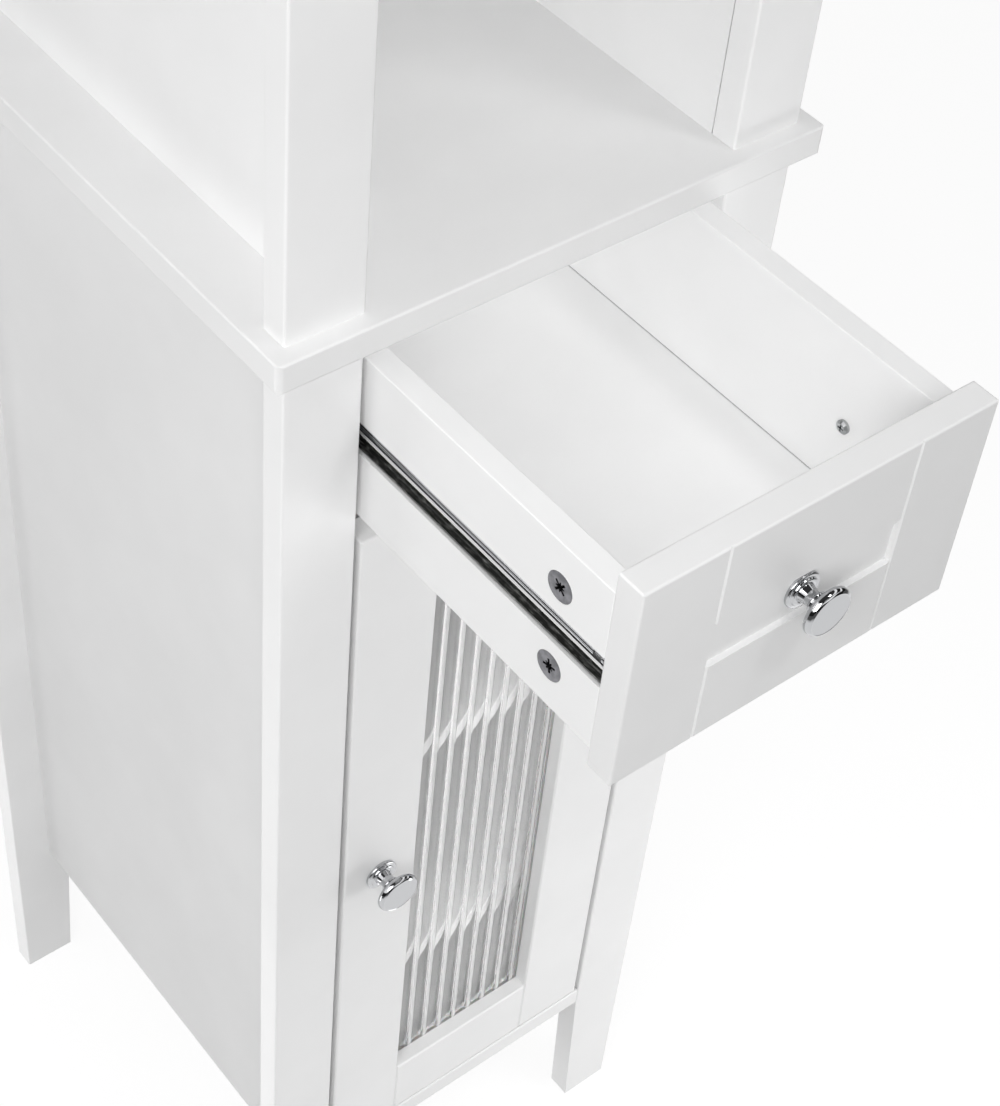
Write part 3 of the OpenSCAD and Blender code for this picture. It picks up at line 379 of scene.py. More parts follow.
@dataclass(frozen=True)
class RolledSlide(Finish):
    """Zinc-plated strip, rolled to a slide, with painted highlight and shade in its channel.

    The rolls leave fine dark lines along the upper race and the web. A pale band
    is painted across the web's foot as a highlight, and all below it is painted
    dark as shade, in blotches.
    """

    rolled: str = "ACADAF"
    line: str = "2A2B2D"
    # Colours of the painted highlight band, and of the painted shade with its lighter flecks.
    painted_highlight: str = "FCFCFC"
    painted_shade: str = "262725"
    shade_fleck: str = "6E6F6C"
    # Real rolling lines are about 0.1 mm apart: drawn as coarse as it takes to show.
    line_mm: float = 0.85
    line_waver: float = 1.5
    line_octaves: float = 2.0
    line_span: Span = (0.25, 0.6)
    line_run: Triple = (1.0, 0.02, 1.0)
    spots: Noise = Noise(1.2, 5.0)
    spot_span: Span = (0.5, 0.72)
    spot_run: Triple = (1.0, 0.25, 1.0)
    # How far the painted highlight band and the painted shade start below the slide's middle.
    highlight_mm: float = 3.2
    shade_mm: float = 5.3
    soft_mm: float = 0.2
    bare_metallic: float = 0.9
    shaded_metallic: float = 0.35
    shine_span: Span = (0.15, 0.35)
    # The wave node's bands are tau / 20 apart at a scale of 1.
    waves_per_tau: int = 20

    def surface(self, tree: Tree) -> Node:
        """Adds rolled lines, a painted highlight band and painted shade below it.

        Args:
            tree: the material's tree.

        Returns:
            The strip's shader.
        """
        low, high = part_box("slide_drawer_member_left")
        middle = (low.z + high.z) / 2
        height = tree.add("ShaderNodeSeparateXYZ", i0=tree.at).outputs["Z"]
        along = tree.add("ShaderNodeMapping", Vector=tree.at, Scale=self.line_run)
        lines = tree.add("ShaderNodeTexWave", {"bands_direction": "Z"}, Vector=along,
                         Scale=math.tau / self.waves_per_tau / (self.line_mm * MM),
                         Distortion=self.line_waver, Detail=self.line_octaves)
        lined = tree.add("ShaderNodeValToRGB", stops=fade(self.line_span, self.line, self.rolled),
                         Fac=lines.outputs["Fac"])
        drawn = tree.add("ShaderNodeMapping", Vector=tree.at, Scale=self.spot_run)
        spots = tree.add("ShaderNodeTexNoise", Vector=drawn, **self.spots.sockets)
        flecked_shade = tree.add("ShaderNodeValToRGB", stops=fade(self.spot_span, self.painted_shade, self.shade_fleck),
                        Fac=spots)
        # Masks of the painted highlight band and of the painted shade below it.
        foot, shade_band = (tree.add("ShaderNodeMapRange", i0=height, i1=middle - (below - self.soft_mm) * MM,
                               i2=middle - below * MM) for below in (self.highlight_mm, self.shade_mm))
        with_highlight = tree.add("ShaderNodeMix", COLOURS, i0=foot, i6=lined, i7=srgb(self.painted_highlight))
        tint = tree.add("ShaderNodeMix", COLOURS, i0=shade_band, i6=with_highlight.outputs[2], i7=flecked_shade)
        bare = tree.add("ShaderNodeMapRange", i0=foot, i3=self.bare_metallic, i4=0.0)
        metal = tree.add("ShaderNodeMix", i0=shade_band, i2=bare, i3=self.shaded_metallic)
        shine = tree.add("ShaderNodeMapRange", i0=lines.outputs["Fac"], i3=self.shine_span[0],
                         i4=self.shine_span[1])
        return tree.add("ShaderNodeBsdfPrincipled", Base_Color=tint.outputs[2], Metallic=metal,
                        Roughness=shine)


@dataclass(frozen=True)
class CastZinc(Finish):
    """Raw zinc die casting, tumbled smooth.

    It is a dull mid grey with a fine grain and a slightly brighter worn skin.
    The recess for the driver is painted black as shade.
    """

    colour: str = "76767A"
    worn: str = "909094"
    recess_shade: str = "0A0A0B"
    roughness: float = 0.42
    metallic: float = 0.85
    # A real casting's grain is about 0.1 mm: drawn as coarse as it takes to show.
    grain: Noise = Noise(0.4, 4.0)
    grain_relief: Relief = Relief(0.4, 0.02)
    wear: Noise = Noise(4.0, 3.0)
    wear_span: Span = (0.4, 0.62)
    # How far the occlusion looks, and the span over which the recess's painted shade fades in.
    recess_reach_mm: float = 4.0
    recess_open: Span = (0.35, 0.75)

    def surface(self, tree: Tree) -> Node:
        """Adds two greys, a fine grain and painted shade in the recess.

        Args:
            tree: the material's tree.

        Returns:
            The casting's shader.
        """
        grain = tree.add("ShaderNodeTexNoise", Vector=tree.at, **self.grain.sockets)
        wear = tree.add("ShaderNodeTexNoise", Vector=tree.at, **self.wear.sockets)
        tumbled = tree.add("ShaderNodeValToRGB", stops=fade(self.wear_span, self.colour, self.worn), Fac=wear)
        # Painted shade: the recess darkens to black where nearby faces hide the point.
        near = tree.add("ShaderNodeAmbientOcclusion", NEARBY_RAYS, Distance=self.recess_reach_mm * MM)
        recess_shaded = tree.add("ShaderNodeMapRange", i0=near.outputs["AO"], i1=self.recess_open[0],
                        i2=self.recess_open[1], i3=1.0, i4=0.0)
        tint = tree.add("ShaderNodeMix", COLOURS, i0=recess_shaded, i6=tumbled, i7=srgb(self.recess_shade))
        bump = tree.add("ShaderNodeBump", Height=grain, **self.grain_relief.sockets)
        return tree.add("ShaderNodeBsdfPrincipled", Base_Color=tint.outputs[2], Metallic=self.metallic,
                        Roughness=self.roughness, Normal=bump)


@dataclass(frozen=True)
class RolledGlass(Finish):
    """Clear glass rolled with upright reeds.

    The flutes between the reeds bend what stands behind them. A pale satin is
    painted along the reeds' crests as highlight lines. Lamps shine through the
    pane and light the shelves behind it.
    """

    colour: str = "F7F7F7"
    shade: str = "FAFAFA"
    crest_highlight_colour: str = "FAFAFA"
    crest_highlight_share: float = 0.6
    # Depth behind the crests' fronts at which their painted highlight ends.
    crest_mm: float = 0.6
    roughness: float = 0.04
    crest_roughness: float = 0.4
    ior: float = 1.52
    waves: Noise = Noise(18.0, 1.0)
    wave_relief: Relief = Relief(0.08, 0.1)

    def surface(self, tree: Tree) -> Node:
        """Adds the glass, with a painted satin highlight along the crests, open to the light of lamps.

        Args:
            tree: the material's tree.

        Returns:
            The pane's shader.
        """
        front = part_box("door_glass")[0].y
        depth = tree.add("ShaderNodeSeparateXYZ", i0=tree.at).outputs["Y"]
        # Painted highlight: a pale satin is mixed into the glass along the crests.
        crest_highlight = tree.add("ShaderNodeMapRange", {"interpolation_type": "SMOOTHSTEP"}, i0=depth, i1=front,
                         i2=front + self.crest_mm * MM, i3=self.crest_highlight_share, i4=0.0)
        waves = tree.add("ShaderNodeTexNoise", Vector=tree.at, **self.waves.sockets)
        bump = tree.add("ShaderNodeBump", Height=waves, **self.wave_relief.sockets)
        glass = tree.add("ShaderNodeBsdfPrincipled", Base_Color=srgb(self.colour), IOR=self.ior,
                         Roughness=self.roughness, Transmission_Weight=1.0, Normal=bump)
        highlight_satin = tree.add("ShaderNodeBsdfPrincipled", Base_Color=srgb(self.crest_highlight_colour), IOR=self.ior,
                         Roughness=self.crest_roughness)
        body = tree.add("ShaderNodeMixShader", i0=crest_highlight, i1=glass, i2=highlight_satin)
        clear = tree.add("ShaderNodeBsdfTransparent", Color=srgb(self.shade))
        lit = tree.add("ShaderNodeLightPath").outputs["Is Shadow Ray"]
        return tree.add("ShaderNodeMixShader", i0=lit, i1=body, i2=clear)


@dataclass(frozen=True)
class MouldedNylon(Finish):
    """Injection-moulded nylon: waxy, slightly see-through at the surface."""

    colour: str = "ECECEA"
    roughness: float = 0.48
    # A real spark-eroded grain is under 0.1 mm: drawn as coarse as it takes to show.
    spark: Noise = Noise(0.3, 3.0)
    spark_relief: Relief = Relief(0.4, 0.01)
    see_through: float = 0.15
    see_through_mm: float = 0.6

    def surface(self, tree: Tree) -> Node:
        """Adds the nylon with a fine spark-eroded texture.

        Args:
            tree: the material's tree.

        Returns:
            The nylon's shader.
        """
        spark = tree.add("ShaderNodeTexNoise", Vector=tree.at, **self.spark.sockets)
        bump = tree.add("ShaderNodeBump", Height=spark, **self.spark_relief.sockets)
        return tree.add("ShaderNodeBsdfPrincipled", Base_Color=srgb(self.colour), Roughness=self.roughness,
                        Subsurface_Weight=self.see_through, Subsurface_Scale=self.see_through_mm * MM,
                        Normal=bump)


@dataclass(frozen=True)
class PlainBeech(Finish):
    """Unfinished beech, turned to dowels: pale, with small dark flecks."""

    colour: str = "D9BC90"
    fleck: str = "B9925F"
    flecks: Noise = Noise(1.5, 5.0)
    fleck_span: Span = (0.35, 0.6)
    roughness: float = 0.6

    def surface(self, tree: Tree) -> Node:
        """Adds the beech with its flecks.

        Args:
            tree: the material's tree.

        Returns:
            The beech's shader.
        """
        flecks = tree.add("ShaderNodeTexNoise", Vector=tree.at, **self.flecks.sockets)
        tint = tree.add("ShaderNodeValToRGB", stops=fade(self.fleck_span, self.fleck, self.colour),
                        Fac=flecks)
        return tree.add("ShaderNodeBsdfPrincipled", Base_Color=tint, Roughness=self.roughness)


class Finishes(Enum):
    """Every finish on the tower."""

    LACQUER = SprayedLacquer("lacquer_sprayed_on_mdf", "lacquered_mdf")
    # Painted light: the drawer's walls take a lighter white than the case, as light inside the drawer.
    LIGHTER_DRAWER_LACQUER = SprayedLacquer("lacquer_painted_lighter_on_drawer_mdf", "lacquered_mdf", colour="F8F8F8",
                                    cloud="F4F4F4", roughness=0.4)
    # The drawer's floor lies in grooves of the sides. Its white is painted lighter, as light inside the
    # drawer, and a darker, tighter line of painted shade runs where it meets the sides.
    LIGHTER_FLOOR_LACQUER = SprayedLacquer("lacquer_painted_lighter_with_shade_on_drawer_floor", "lacquered_mdf", colour="F8F8F8",
                                   cloud="F4F4F4", joint="3C3C3E", roughness=0.4, joint_shade_reach_mm=1.8,
                                   joint_shade_open=(0.4, 0.75))
    # Painted shade: the drawer's front takes a darker white than the case.
    DARKER_FRONT_LACQUER = SprayedLacquer("lacquer_painted_darker_on_drawer_front", "lacquered_mdf", colour="EFEFEF",
                                   cloud="EBEBEB")
    # Painted shade: the top and middle boards take a darker white than the case.
    DARKER_BOARD_LACQUER = SprayedLacquer("lacquer_painted_darker_on_boards", "lacquered_mdf", colour="EEEEEE",
                                   cloud="EAEAEA")
    HARDBOARD = SprayedLacquer("lacquer_rolled_on_hardboard", "lacquered_hardboard", colour="F0F0F0",
                               cloud="ECECEC", roughness=0.45, peel=Noise(3.0, 1.5))
    CHROME = PolishedChrome("chromium_plated_and_buffed", "chrome_knob")
    CAST_ZINC = CastZinc("zinc_die_cast_raw", "zinc_casting")
    ZINC_STEEL = PlatedSteel("steel_rolled_and_zinc_plated", "zinc_steel")
    SLIDE_STEEL = RolledSlide("steel_rolled_with_painted_highlight_and_shade", "zinc_steel")
    NICKEL_STEEL = PlatedSteel("steel_pressed_and_nickel_plated", "nickel_steel", colour="BDBAB4",
                               patch="A8A49D", roughness=0.22, run=(1.0, 1.0, 0.1))
    GLASS = RolledGlass("glass_rolled_with_reeds", "reeded_glass")
    NYLON = MouldedNylon("nylon_injection_moulded", "nylon")
    BEECH = PlainBeech("beech_turned_unfinished", "beech_dowel")


class Workshop:
    """Makes each finish once and puts it on CAD nodes and new pieces."""

    @staticmethod
    @cache
    def material(finish: Finishes) -> Material:
        """Gives a finish's material, and makes it the first time."""
        return finish.value.material()

    def dress(self, finish: Finishes, *nodes: str) -> None:
        """Puts a finish on CAD nodes.

        Args:
            finish: the finish to put on.
            *nodes: names of the nodes.
        """
        for name in nodes:
            slots = frame["nodes"][name].data.materials
            slots.clear()
            slots.append(self.material(finish))
            LOG.info("%s: %s", name, finish.value.name)

    def piece(self, name: str, shape: BMesh, finish: Finishes, body: str,
              stands_for: Iterable[str], sharp_deg: float = 35.0) -> None:
        """Turns a finished bmesh into a piece that rides on a body.

        Args:
            name: the piece's name.
            shape: its bmesh, which is freed.
            finish: its finish.
            body: the CAD body that it rides on.
            stands_for: the CAD nodes that it replaces.
            sharp_deg: edges sharper than this stay sharp.
        """
        bmesh.ops.remove_doubles(shape, verts=shape.verts, dist=MERGED)
        bmesh.ops.recalc_face_normals(shape, faces=shape.faces)
        for edge in shape.edges:
            edge.smooth = len(edge.link_faces) == 2 and edge.calc_face_angle() < math.radians(sharp_deg)
        for face in shape.faces:
            face.smooth = True
        mesh = bpy.data.meshes.new(name)
        shape.to_mesh(mesh)
        shape.free()
        mesh.materials.append(self.material(finish))
        made = bpy.data.objects.new(name, mesh)
        bpy.context.scene.collection.objects.link(made)
        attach(made, body)
        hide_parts(*stands_for)
        LOG.info("%s: %d faces, %s", name, len(mesh.polygons), finish.value.name)


# ---- Shapes ----

# Points nearer to each other than this, in metres, are one; and the same on an axis.
MERGED = 1e-7
MERGED_ON_AXIS = 1e-6
# Heights below this, in metres, are nought.
FLAT = 1e-9
CORNER_STEPS = 5
FACING_FRONT = Matrix.Rotation(math.radians(90), 3, "X")


def only(kind: type, geometry: Iterable) -> list:
    """Keeps what is of one kind, such as BMVert, of an operator's result."""
    return [element for element in geometry if isinstance(element, kind)]


def rounded_chain(shape: BMesh, points: Sequence[Triple]) -> None:
    """Draws a chain of edges in the XZ plane and rounds its corners.

    Args:
        shape: the bmesh to draw in.
        points: x, z and corner radius of each point, in millimetres.
    """
    chain = [shape.verts.new((x * MM, 0, z * MM)) for x, z, _ in points]
    for a, b in zip(chain, chain[1:]):
        shape.edges.new((a, b))
    for vertex, (_, _, radius) in zip(chain, points):
        if radius:
            bmesh.ops.bevel(shape, geom=[vertex], offset=radius * MM, offset_type="OFFSET",
                            segments=CORNER_STEPS, profile=0.5, affect="VERTICES", material=-1)


def turned(points: Sequence[Triple], steps: int = 96) -> BMesh:
    """Turns a rounded outline round the Z axis.

    Args:
        points: radius, height and corner radius of each point, in millimetres.
        steps: facets round the axis.

    Returns:
        The turned shape, standing on z = 0.
    """
    shape = bmesh.new()
    rounded_chain(shape, points)
    bmesh.ops.spin(shape, geom=shape.verts[:] + shape.edges[:], cent=(0, 0, 0), axis=(0, 0, 1),
                   angle=math.tau, steps=steps, use_merge=True)
    bmesh.ops.remove_doubles(shape, verts=shape.verts, dist=MERGED_ON_AXIS)
    return shape


def place(shape: BMesh, at: Vector, turn: Matrix | None = None) -> BMesh:
    """Turns a shape and moves it to its place.

    Args:
        shape: the bmesh to move.
        at: where its origin goes.
        turn: a rotation to make first.

    Returns:
        The same bmesh.
    """
    matrix = Matrix.Translation(at) @ (turn.to_4x4() if turn else Matrix.Identity(4))
    bmesh.ops.transform(shape, matrix=matrix, verts=shape.verts)
    return shape


class ArcPen:
    """A pen that draws a smooth chain of arcs in the XY plane, in millimetres."""

    def __init__(self, shape: BMesh, x: float, y: float, heading_deg: float) -> None:
        """Sets the pen down at a point.

        Args:
            shape: the bmesh to draw in.
            x: the point's x, in millimetres.
            y: the point's y, in millimetres.
            heading_deg: where the pen looks, in degrees from +X.
        """
        self.shape = shape
        self.tip = shape.verts.new((x * MM, y * MM, 0))
        self.heading = math.radians(heading_deg)

    def arc(self, radius: float, turn_deg: float, steps: int) -> None:
        """Draws an arc that leaves along the pen's heading.

        Args:
            radius: the arc's radius, in millimetres.
            turn_deg: how far the heading turns, to the left if positive.
            steps: edges in the arc.
        """
        turn = math.radians(turn_deg)
        side = math.copysign(radius * MM, turn)
        centre = self.tip.co + Vector((-math.sin(self.heading), math.cos(self.heading), 0)) * side
        drawn = bmesh.ops.spin(self.shape, geom=[self.tip], cent=centre, axis=(0, 0, 1), angle=turn,
                               steps=steps)
        self.tip = only(BMVert, drawn["geom_last"])[0]
        self.heading += turn


# ---- Sub-assemblies ----


def both_sides(*stems: str) -> Names:
    """Gives the left and right nodes of each stem, such as door_stile."""
    return tuple(f"{stem}_{side}" for stem in stems for side in ("left", "right"))


DRAWER_FRONT = (*both_sides("drawer_stile"), "drawer_rail_top", "drawer_rail_bottom", "drawer_field_panel")
DRAWER_WALLS = (*both_sides("drawer_side"), "drawer_back")
UPPER_POSTS = both_sides("upper_front_post", "upper_rear_post")


@dataclass
class Carcass:
    """The boards, posts and panels of the case, all lacquered fibreboard."""

    wide_boards: Names = ("top_board", "mid_board")
    boards: Names = ("bottom_board", "drawer_divider", "open_shelf_lower", "open_shelf_upper",
                               "inner_shelf_lower", "inner_shelf_upper")
    uprights: Names = (
        *both_sides("lower_side", "upper_side", "front_leg_post", "rear_leg_post"), *UPPER_POSTS)
    back_panels: Names = ("lower_back_panel", "upper_back_panel")

    def build(self, workshop: Workshop) -> None:
        """Dresses the case's boards, panels, fittings and dowels.

        Args:
            workshop: makes the finishes.
        """
        workshop.dress(Finishes.DARKER_BOARD_LACQUER, *self.wide_boards)
        workshop.dress(Finishes.LACQUER, *self.boards, *self.uprights)
        workshop.dress(Finishes.HARDBOARD, *self.back_panels)
        workshop.dress(Finishes.NYLON, "shelf_pins", "magnetic_catch")
        workshop.dress(Finishes.BEECH, "case_dowels")
        workshop.dress(Finishes.ZINC_STEEL, "case_screws")


@dataclass
class Knob:
    """A turned, chromium-plated knob with a flat face.

    The outline runs from the middle of the foot to the middle of the face, as
    radius, height and corner radius in millimetres.
    """

    node: str
    body: str
    outline: tuple[Triple, ...] = (
        (0.0, 0.0, 0.0), (9.5, 0.0, 0.3), (9.5, 2.0, 1.0), (7.5, 2.0, 0.25), (7.1, 3.0, 0.5),
        (5.5, 3.1, 0.5), (5.0, 2.7, 0.3), (4.4, 4.6, 1.0), (3.9, 6.4, 1.5), (4.1, 8.8, 0.5),
        (5.5, 9.0, 0.5), (5.5, 10.1, 0.5), (4.8, 10.5, 0.3), (6.6, 11.5, 1.0), (10.4, 12.9, 1.6),
        (12.5, 14.2, 1.0), (12.5, 16.2, 1.1), (11.7, 17.3, 0.9), (10.8, 17.95, 0.25),
        (10.5, 17.75, 0.2), (0.0, 17.95, 0.0),
    )

    def build(self, workshop: Workshop) -> None:
        """Turns the knob and stands it on its rail or stile.

        Args:
            workshop: makes the finishes.
        """
        low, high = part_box(self.node)
        foot = Vector(((low.x + high.x) / 2, high.y, (low.z + high.z) / 2))
        shape = place(turned(self.outline), foot, FACING_FRONT)
        workshop.piece(f"{self.node}_turned", shape, Finishes.CHROME, self.body, [self.node])


@dataclass
class CamLocks:
    """The cast cam locks in the drawer's sides, with a star recess for the driver.

    Sizes are in millimetres. Each lock is made with its face up at z = 0, then
    turned to face outwards.
    """

    radius: float = 7.45
    depth: float = 9.4
    rim: float = 0.45
    rim_steps: int = 2
    teeth: int = 96
    tooth: float = 0.3
    knurled_deg: Span = (150.0, 235.0)
    arms: int = 8
    arm: float = 3.9
    short_arm: float = 2.7
    valley: float = 1.6
    arm_half_deg: float = 10.0
    short_arm_half_deg: float = 7.0
    recess: float = 6.5
    turns_deg: tuple[float, ...] = (12.0, 47.0)

    def outline(self, shape: BMesh, points: Sequence[Span]) -> list:
        """Draws a closed ring of edges from polar points.

        Args:
            shape: the bmesh to draw in.
            points: radius in millimetres and angle in degrees of each point.

        Returns:
            The ring's edges.
        """
        ring = [shape.verts.new((r * MM * math.cos(math.radians(a)), r * MM * math.sin(math.radians(a)), 0))
                for r, a in points]
        return [shape.edges.new((a, b)) for a, b in zip(ring, [*ring[1:], ring[0]])]

    def star(self, turn: float) -> list[Span]:
        """Gives the recess's outline: long arms and short ones by turns.

        Args:
            turn: angle of the first long arm, in degrees.

        Returns:
            Polar points, radius in millimetres and angle in degrees.
        """
        points = []
        step = 360 / self.arms
        for number in range(self.arms):
            angle = turn + step * number
            reach, half = ((self.arm, self.arm_half_deg) if number % 2 == 0
                           else (self.short_arm, self.short_arm_half_deg))
            points += [(reach, angle - half), (reach, angle + half), (self.valley, angle + step / 2)]
        return points

    def body_points(self) -> list[Span]:
        """Gives the rim's outline, knurled over a quarter of its round.

        Returns:
            Polar points, radius in millimetres and angle in degrees.
        """
        step = 360 / self.teeth
        first, last = self.knurled_deg
        return [(self.radius - (self.tooth if n % 2 and first < n * step < last else 0), n * step)
                for n in range(self.teeth)]

    def lock(self, turn: float) -> BMesh:
        """Makes one lock.

        Args:
            turn: angle of the recess's first arm, in degrees.

        Returns:
            The lock's bmesh, its face at z = 0 and its body below.
        """
        shape = bmesh.new()
        edge = self.outline(shape, self.body_points())
        star = self.outline(shape, self.star(turn))
        bmesh.ops.triangle_fill(shape, use_beauty=True, use_dissolve=False, edges=edge + star)
        for ring, depth in ((star, self.recess), (edge, self.depth)):
            lowered = bmesh.ops.extrude_edge_only(shape, edges=ring)["geom"]
            bmesh.ops.translate(shape, vec=(0, 0, -depth * MM), verts=only(BMVert, lowered))
            bmesh.ops.contextual_create(shape, geom=only(BMEdge, lowered))
        inside = (self.radius - self.tooth - self.rim) * MM
        outer = [e for e in shape.edges
                 if all(abs(v.co.z) < FLAT and v.co.length > inside for v in e.verts)]
        bmesh.ops.bevel(shape, geom=outer, offset=self.rim * MM, offset_type="OFFSET",
                        segments=self.rim_steps, profile=0.5, affect="EDGES", clamp_overlap=True, material=-1)
        return shape

    def build(self, workshop: Workshop) -> None:
        """Puts a lock in every bore, each turned a little differently.

        Args:
            workshop: makes the finishes.
        """
        low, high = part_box("drawer_cam_locks")
        y = (low.y + high.y) / 2
        radius = (high.y - low.y) / 2
        whole = bmesh.new()
        for side, x in ((-1, low.x), (1, high.x)):
            outwards = Matrix.Rotation(side * math.radians(90), 3, "Y")
            for turn, z in zip(self.turns_deg, (low.z + radius, high.z - radius)):
                mesh = bpy.data.meshes.new("lock")
                place(self.lock(turn), Vector((x, y, z)), outwards).to_mesh(mesh)
                whole.from_mesh(mesh)
                bpy.data.meshes.remove(mesh)
        workshop.piece("cam_locks_cast", whole, Finishes.CAST_ZINC, "drawer", ["drawer_cam_locks"])


@dataclass
class Drawer:
    """The pulled-out drawer: framed front, box, cam locks, screws and knob."""

    front: Names = DRAWER_FRONT
    walls: Names = DRAWER_WALLS
    locks: CamLocks = field(default_factory=CamLocks)

    def build(self, workshop: Workshop) -> None:
        """Dresses the drawer, puts its cam locks in and turns its knob.

        Args:
            workshop: makes the finishes.
        """
        workshop.dress(Finishes.DARKER_FRONT_LACQUER, *self.front)
        workshop.dress(Finishes.LIGHTER_DRAWER_LACQUER, *self.walls)
        workshop.dress(Finishes.LIGHTER_FLOOR_LACQUER, "drawer_bottom")
        workshop.dress(Finishes.ZINC_STEEL, "drawer_screws", "drawer_cam_bolts", "drawer_knob_screw")
        self.locks.build(workshop)
        Knob("drawer_knob", "drawer").build(workshop)


@dataclass
class Slides:
    """The two ball-bearing slides, each of two members and a ball cage."""

    members: Names = both_sides("slide_cabinet_member", "slide_drawer_member", "slide_cage")

    def build(self, workshop: Workshop) -> None:
        """Dresses both slides."""
        workshop.dress(Finishes.SLIDE_STEEL, *self.members)


@dataclass
class ReededPane:
    """The rolled pane: narrow round reeds in front, shallow flutes between, flat behind.

    Sizes are in millimetres; one reed stands on the pane's middle.
    """

    pitch: float = 11.4
    reeds: int = 9
    crest_radius: float = 3.6
    foot_radius: float = 2.0
    slope_deg: float = 30.0
    flute_deg: float = 8.0
    crest_steps: int = 12
    foot_steps: int = 6
    flute_steps: int = 10
    sharp_deg: float = 20.0

    def build(self, workshop: Workshop) -> None:
        """Draws reeds and flutes with a pen, closes the outline and extrudes it upright.

        Args:
            workshop: makes the finishes.
        """
        low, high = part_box("door_glass")
        slope, lean = math.radians(self.slope_deg), math.radians(self.flute_deg)
        foot = self.foot_radius * (math.sin(slope) - math.sin(lean))
        reed_half = self.crest_radius * math.sin(slope) + foot
        flute_radius = (self.pitch / 2 - reed_half) / math.sin(lean)
        rise = (self.crest_radius * (1 - math.cos(slope))
                + self.foot_radius * (math.cos(lean) - math.cos(slope)))
        level = low.y / MM + rise
        start = (low.x + high.x) / 2 / MM - (self.reeds - 1) / 2 * self.pitch - reed_half
        shape = bmesh.new()
        pen = ArcPen(shape, start, level, -self.flute_deg)
        for number in range(self.reeds):
            pen.arc(self.foot_radius, self.flute_deg - self.slope_deg, self.foot_steps)
            pen.arc(self.crest_radius, 2 * self.slope_deg, self.crest_steps)
            pen.arc(self.foot_radius, self.flute_deg - self.slope_deg, self.foot_steps)
            if number < self.reeds - 1:
                pen.arc(flute_radius, -2 * self.flute_deg, self.flute_steps)
        ends = sorted((v for v in shape.verts if len(v.link_edges) == 1), key=lambda v: v.co.x)
        corners = [shape.verts.new((x, y, 0)) for x, y in (
            (high.x, level * MM), (high.x, high.y), (low.x, high.y), (low.x, level * MM))]
        for a, b in zip([ends[1], *corners], [*corners, ends[0]]):
            shape.edges.new((a, b))
        bmesh.ops.contextual_create(shape, geom=shape.edges[:])
        raised = bmesh.ops.extrude_face_region(shape, geom=shape.faces[:])["geom"]
        bmesh.ops.translate(shape, vec=(0, 0, high.z - low.z), verts=only(BMVert, raised))
        place(shape, Vector((0, 0, low.z)))
        workshop.piece("reeded_pane", shape, Finishes.GLASS, "door", ["door_glass"], self.sharp_deg)


@dataclass
class Door:
    """The framed glass door with its knob, beads, hinges and catch plate."""

    wood: Names = (*both_sides("door_stile"), "door_rail_top", "door_rail_bottom")
    pane: ReededPane = field(default_factory=ReededPane)

    def build(self, workshop: Workshop) -> None:
        """Dresses the door's frame, glazes it and fits its hardware.

        Args:
            workshop: makes the finishes.
        """
        workshop.dress(Finishes.LACQUER, *self.wood)
        workshop.dress(Finishes.NYLON, "glass_beads")
        workshop.dress(Finishes.NICKEL_STEEL, "hinge_cups", "hinge_arms", "hinge_plates", "hinge_pins",
                       "strike_plate")
        workshop.dress(Finishes.ZINC_STEEL, "door_screws", "door_knob_screw")
        self.pane.build(workshop)
        Knob("door_knob", "door").build(workshop)


# ---- Studio ----

# What the light from the left wall reaches round: the tower's upper part and the drawer.
UPPER_AND_DRAWER = ("top_board", "mid_board", *both_sides("upper_side"), "upper_back_panel", *UPPER_POSTS,
                    "open_shelf_upper", *DRAWER_WALLS, "drawer_bottom", "drawer_field_panel",
                    "drawer_stile_left", "drawer_rail_top")
# What the key reaches round, into the drawer: its front and the board above it.
ROUND_DRAWER = (*DRAWER_FRONT, "mid_board")
# What the light from the floor doesn't reach.
DRAWER = (*DRAWER_FRONT, *DRAWER_WALLS, "drawer_bottom", "drawer_knob_turned", "cam_locks_cast")

WHITE = grey(1.0)
# Tones of the room that metal mirrors: dark and pale strips, and what is straight overhead.
DARK = grey(0.02)
PALE = grey(1.3)
OVERHEAD = grey(0.05)


def heading(azimuth_deg: float, elevation_deg: float) -> Vector:
    """Gives the direction out to an azimuth and elevation; azimuth 0 is the tower's front.

    Args:
        azimuth_deg: degrees round the tower, towards its right.
        elevation_deg: degrees above the floor.

    Returns:
        The unit vector.
    """
    turn, tilt = math.radians(azimuth_deg), math.radians(elevation_deg)
    return Vector((math.sin(turn) * math.cos(tilt), -math.cos(turn) * math.cos(tilt), math.sin(tilt)))


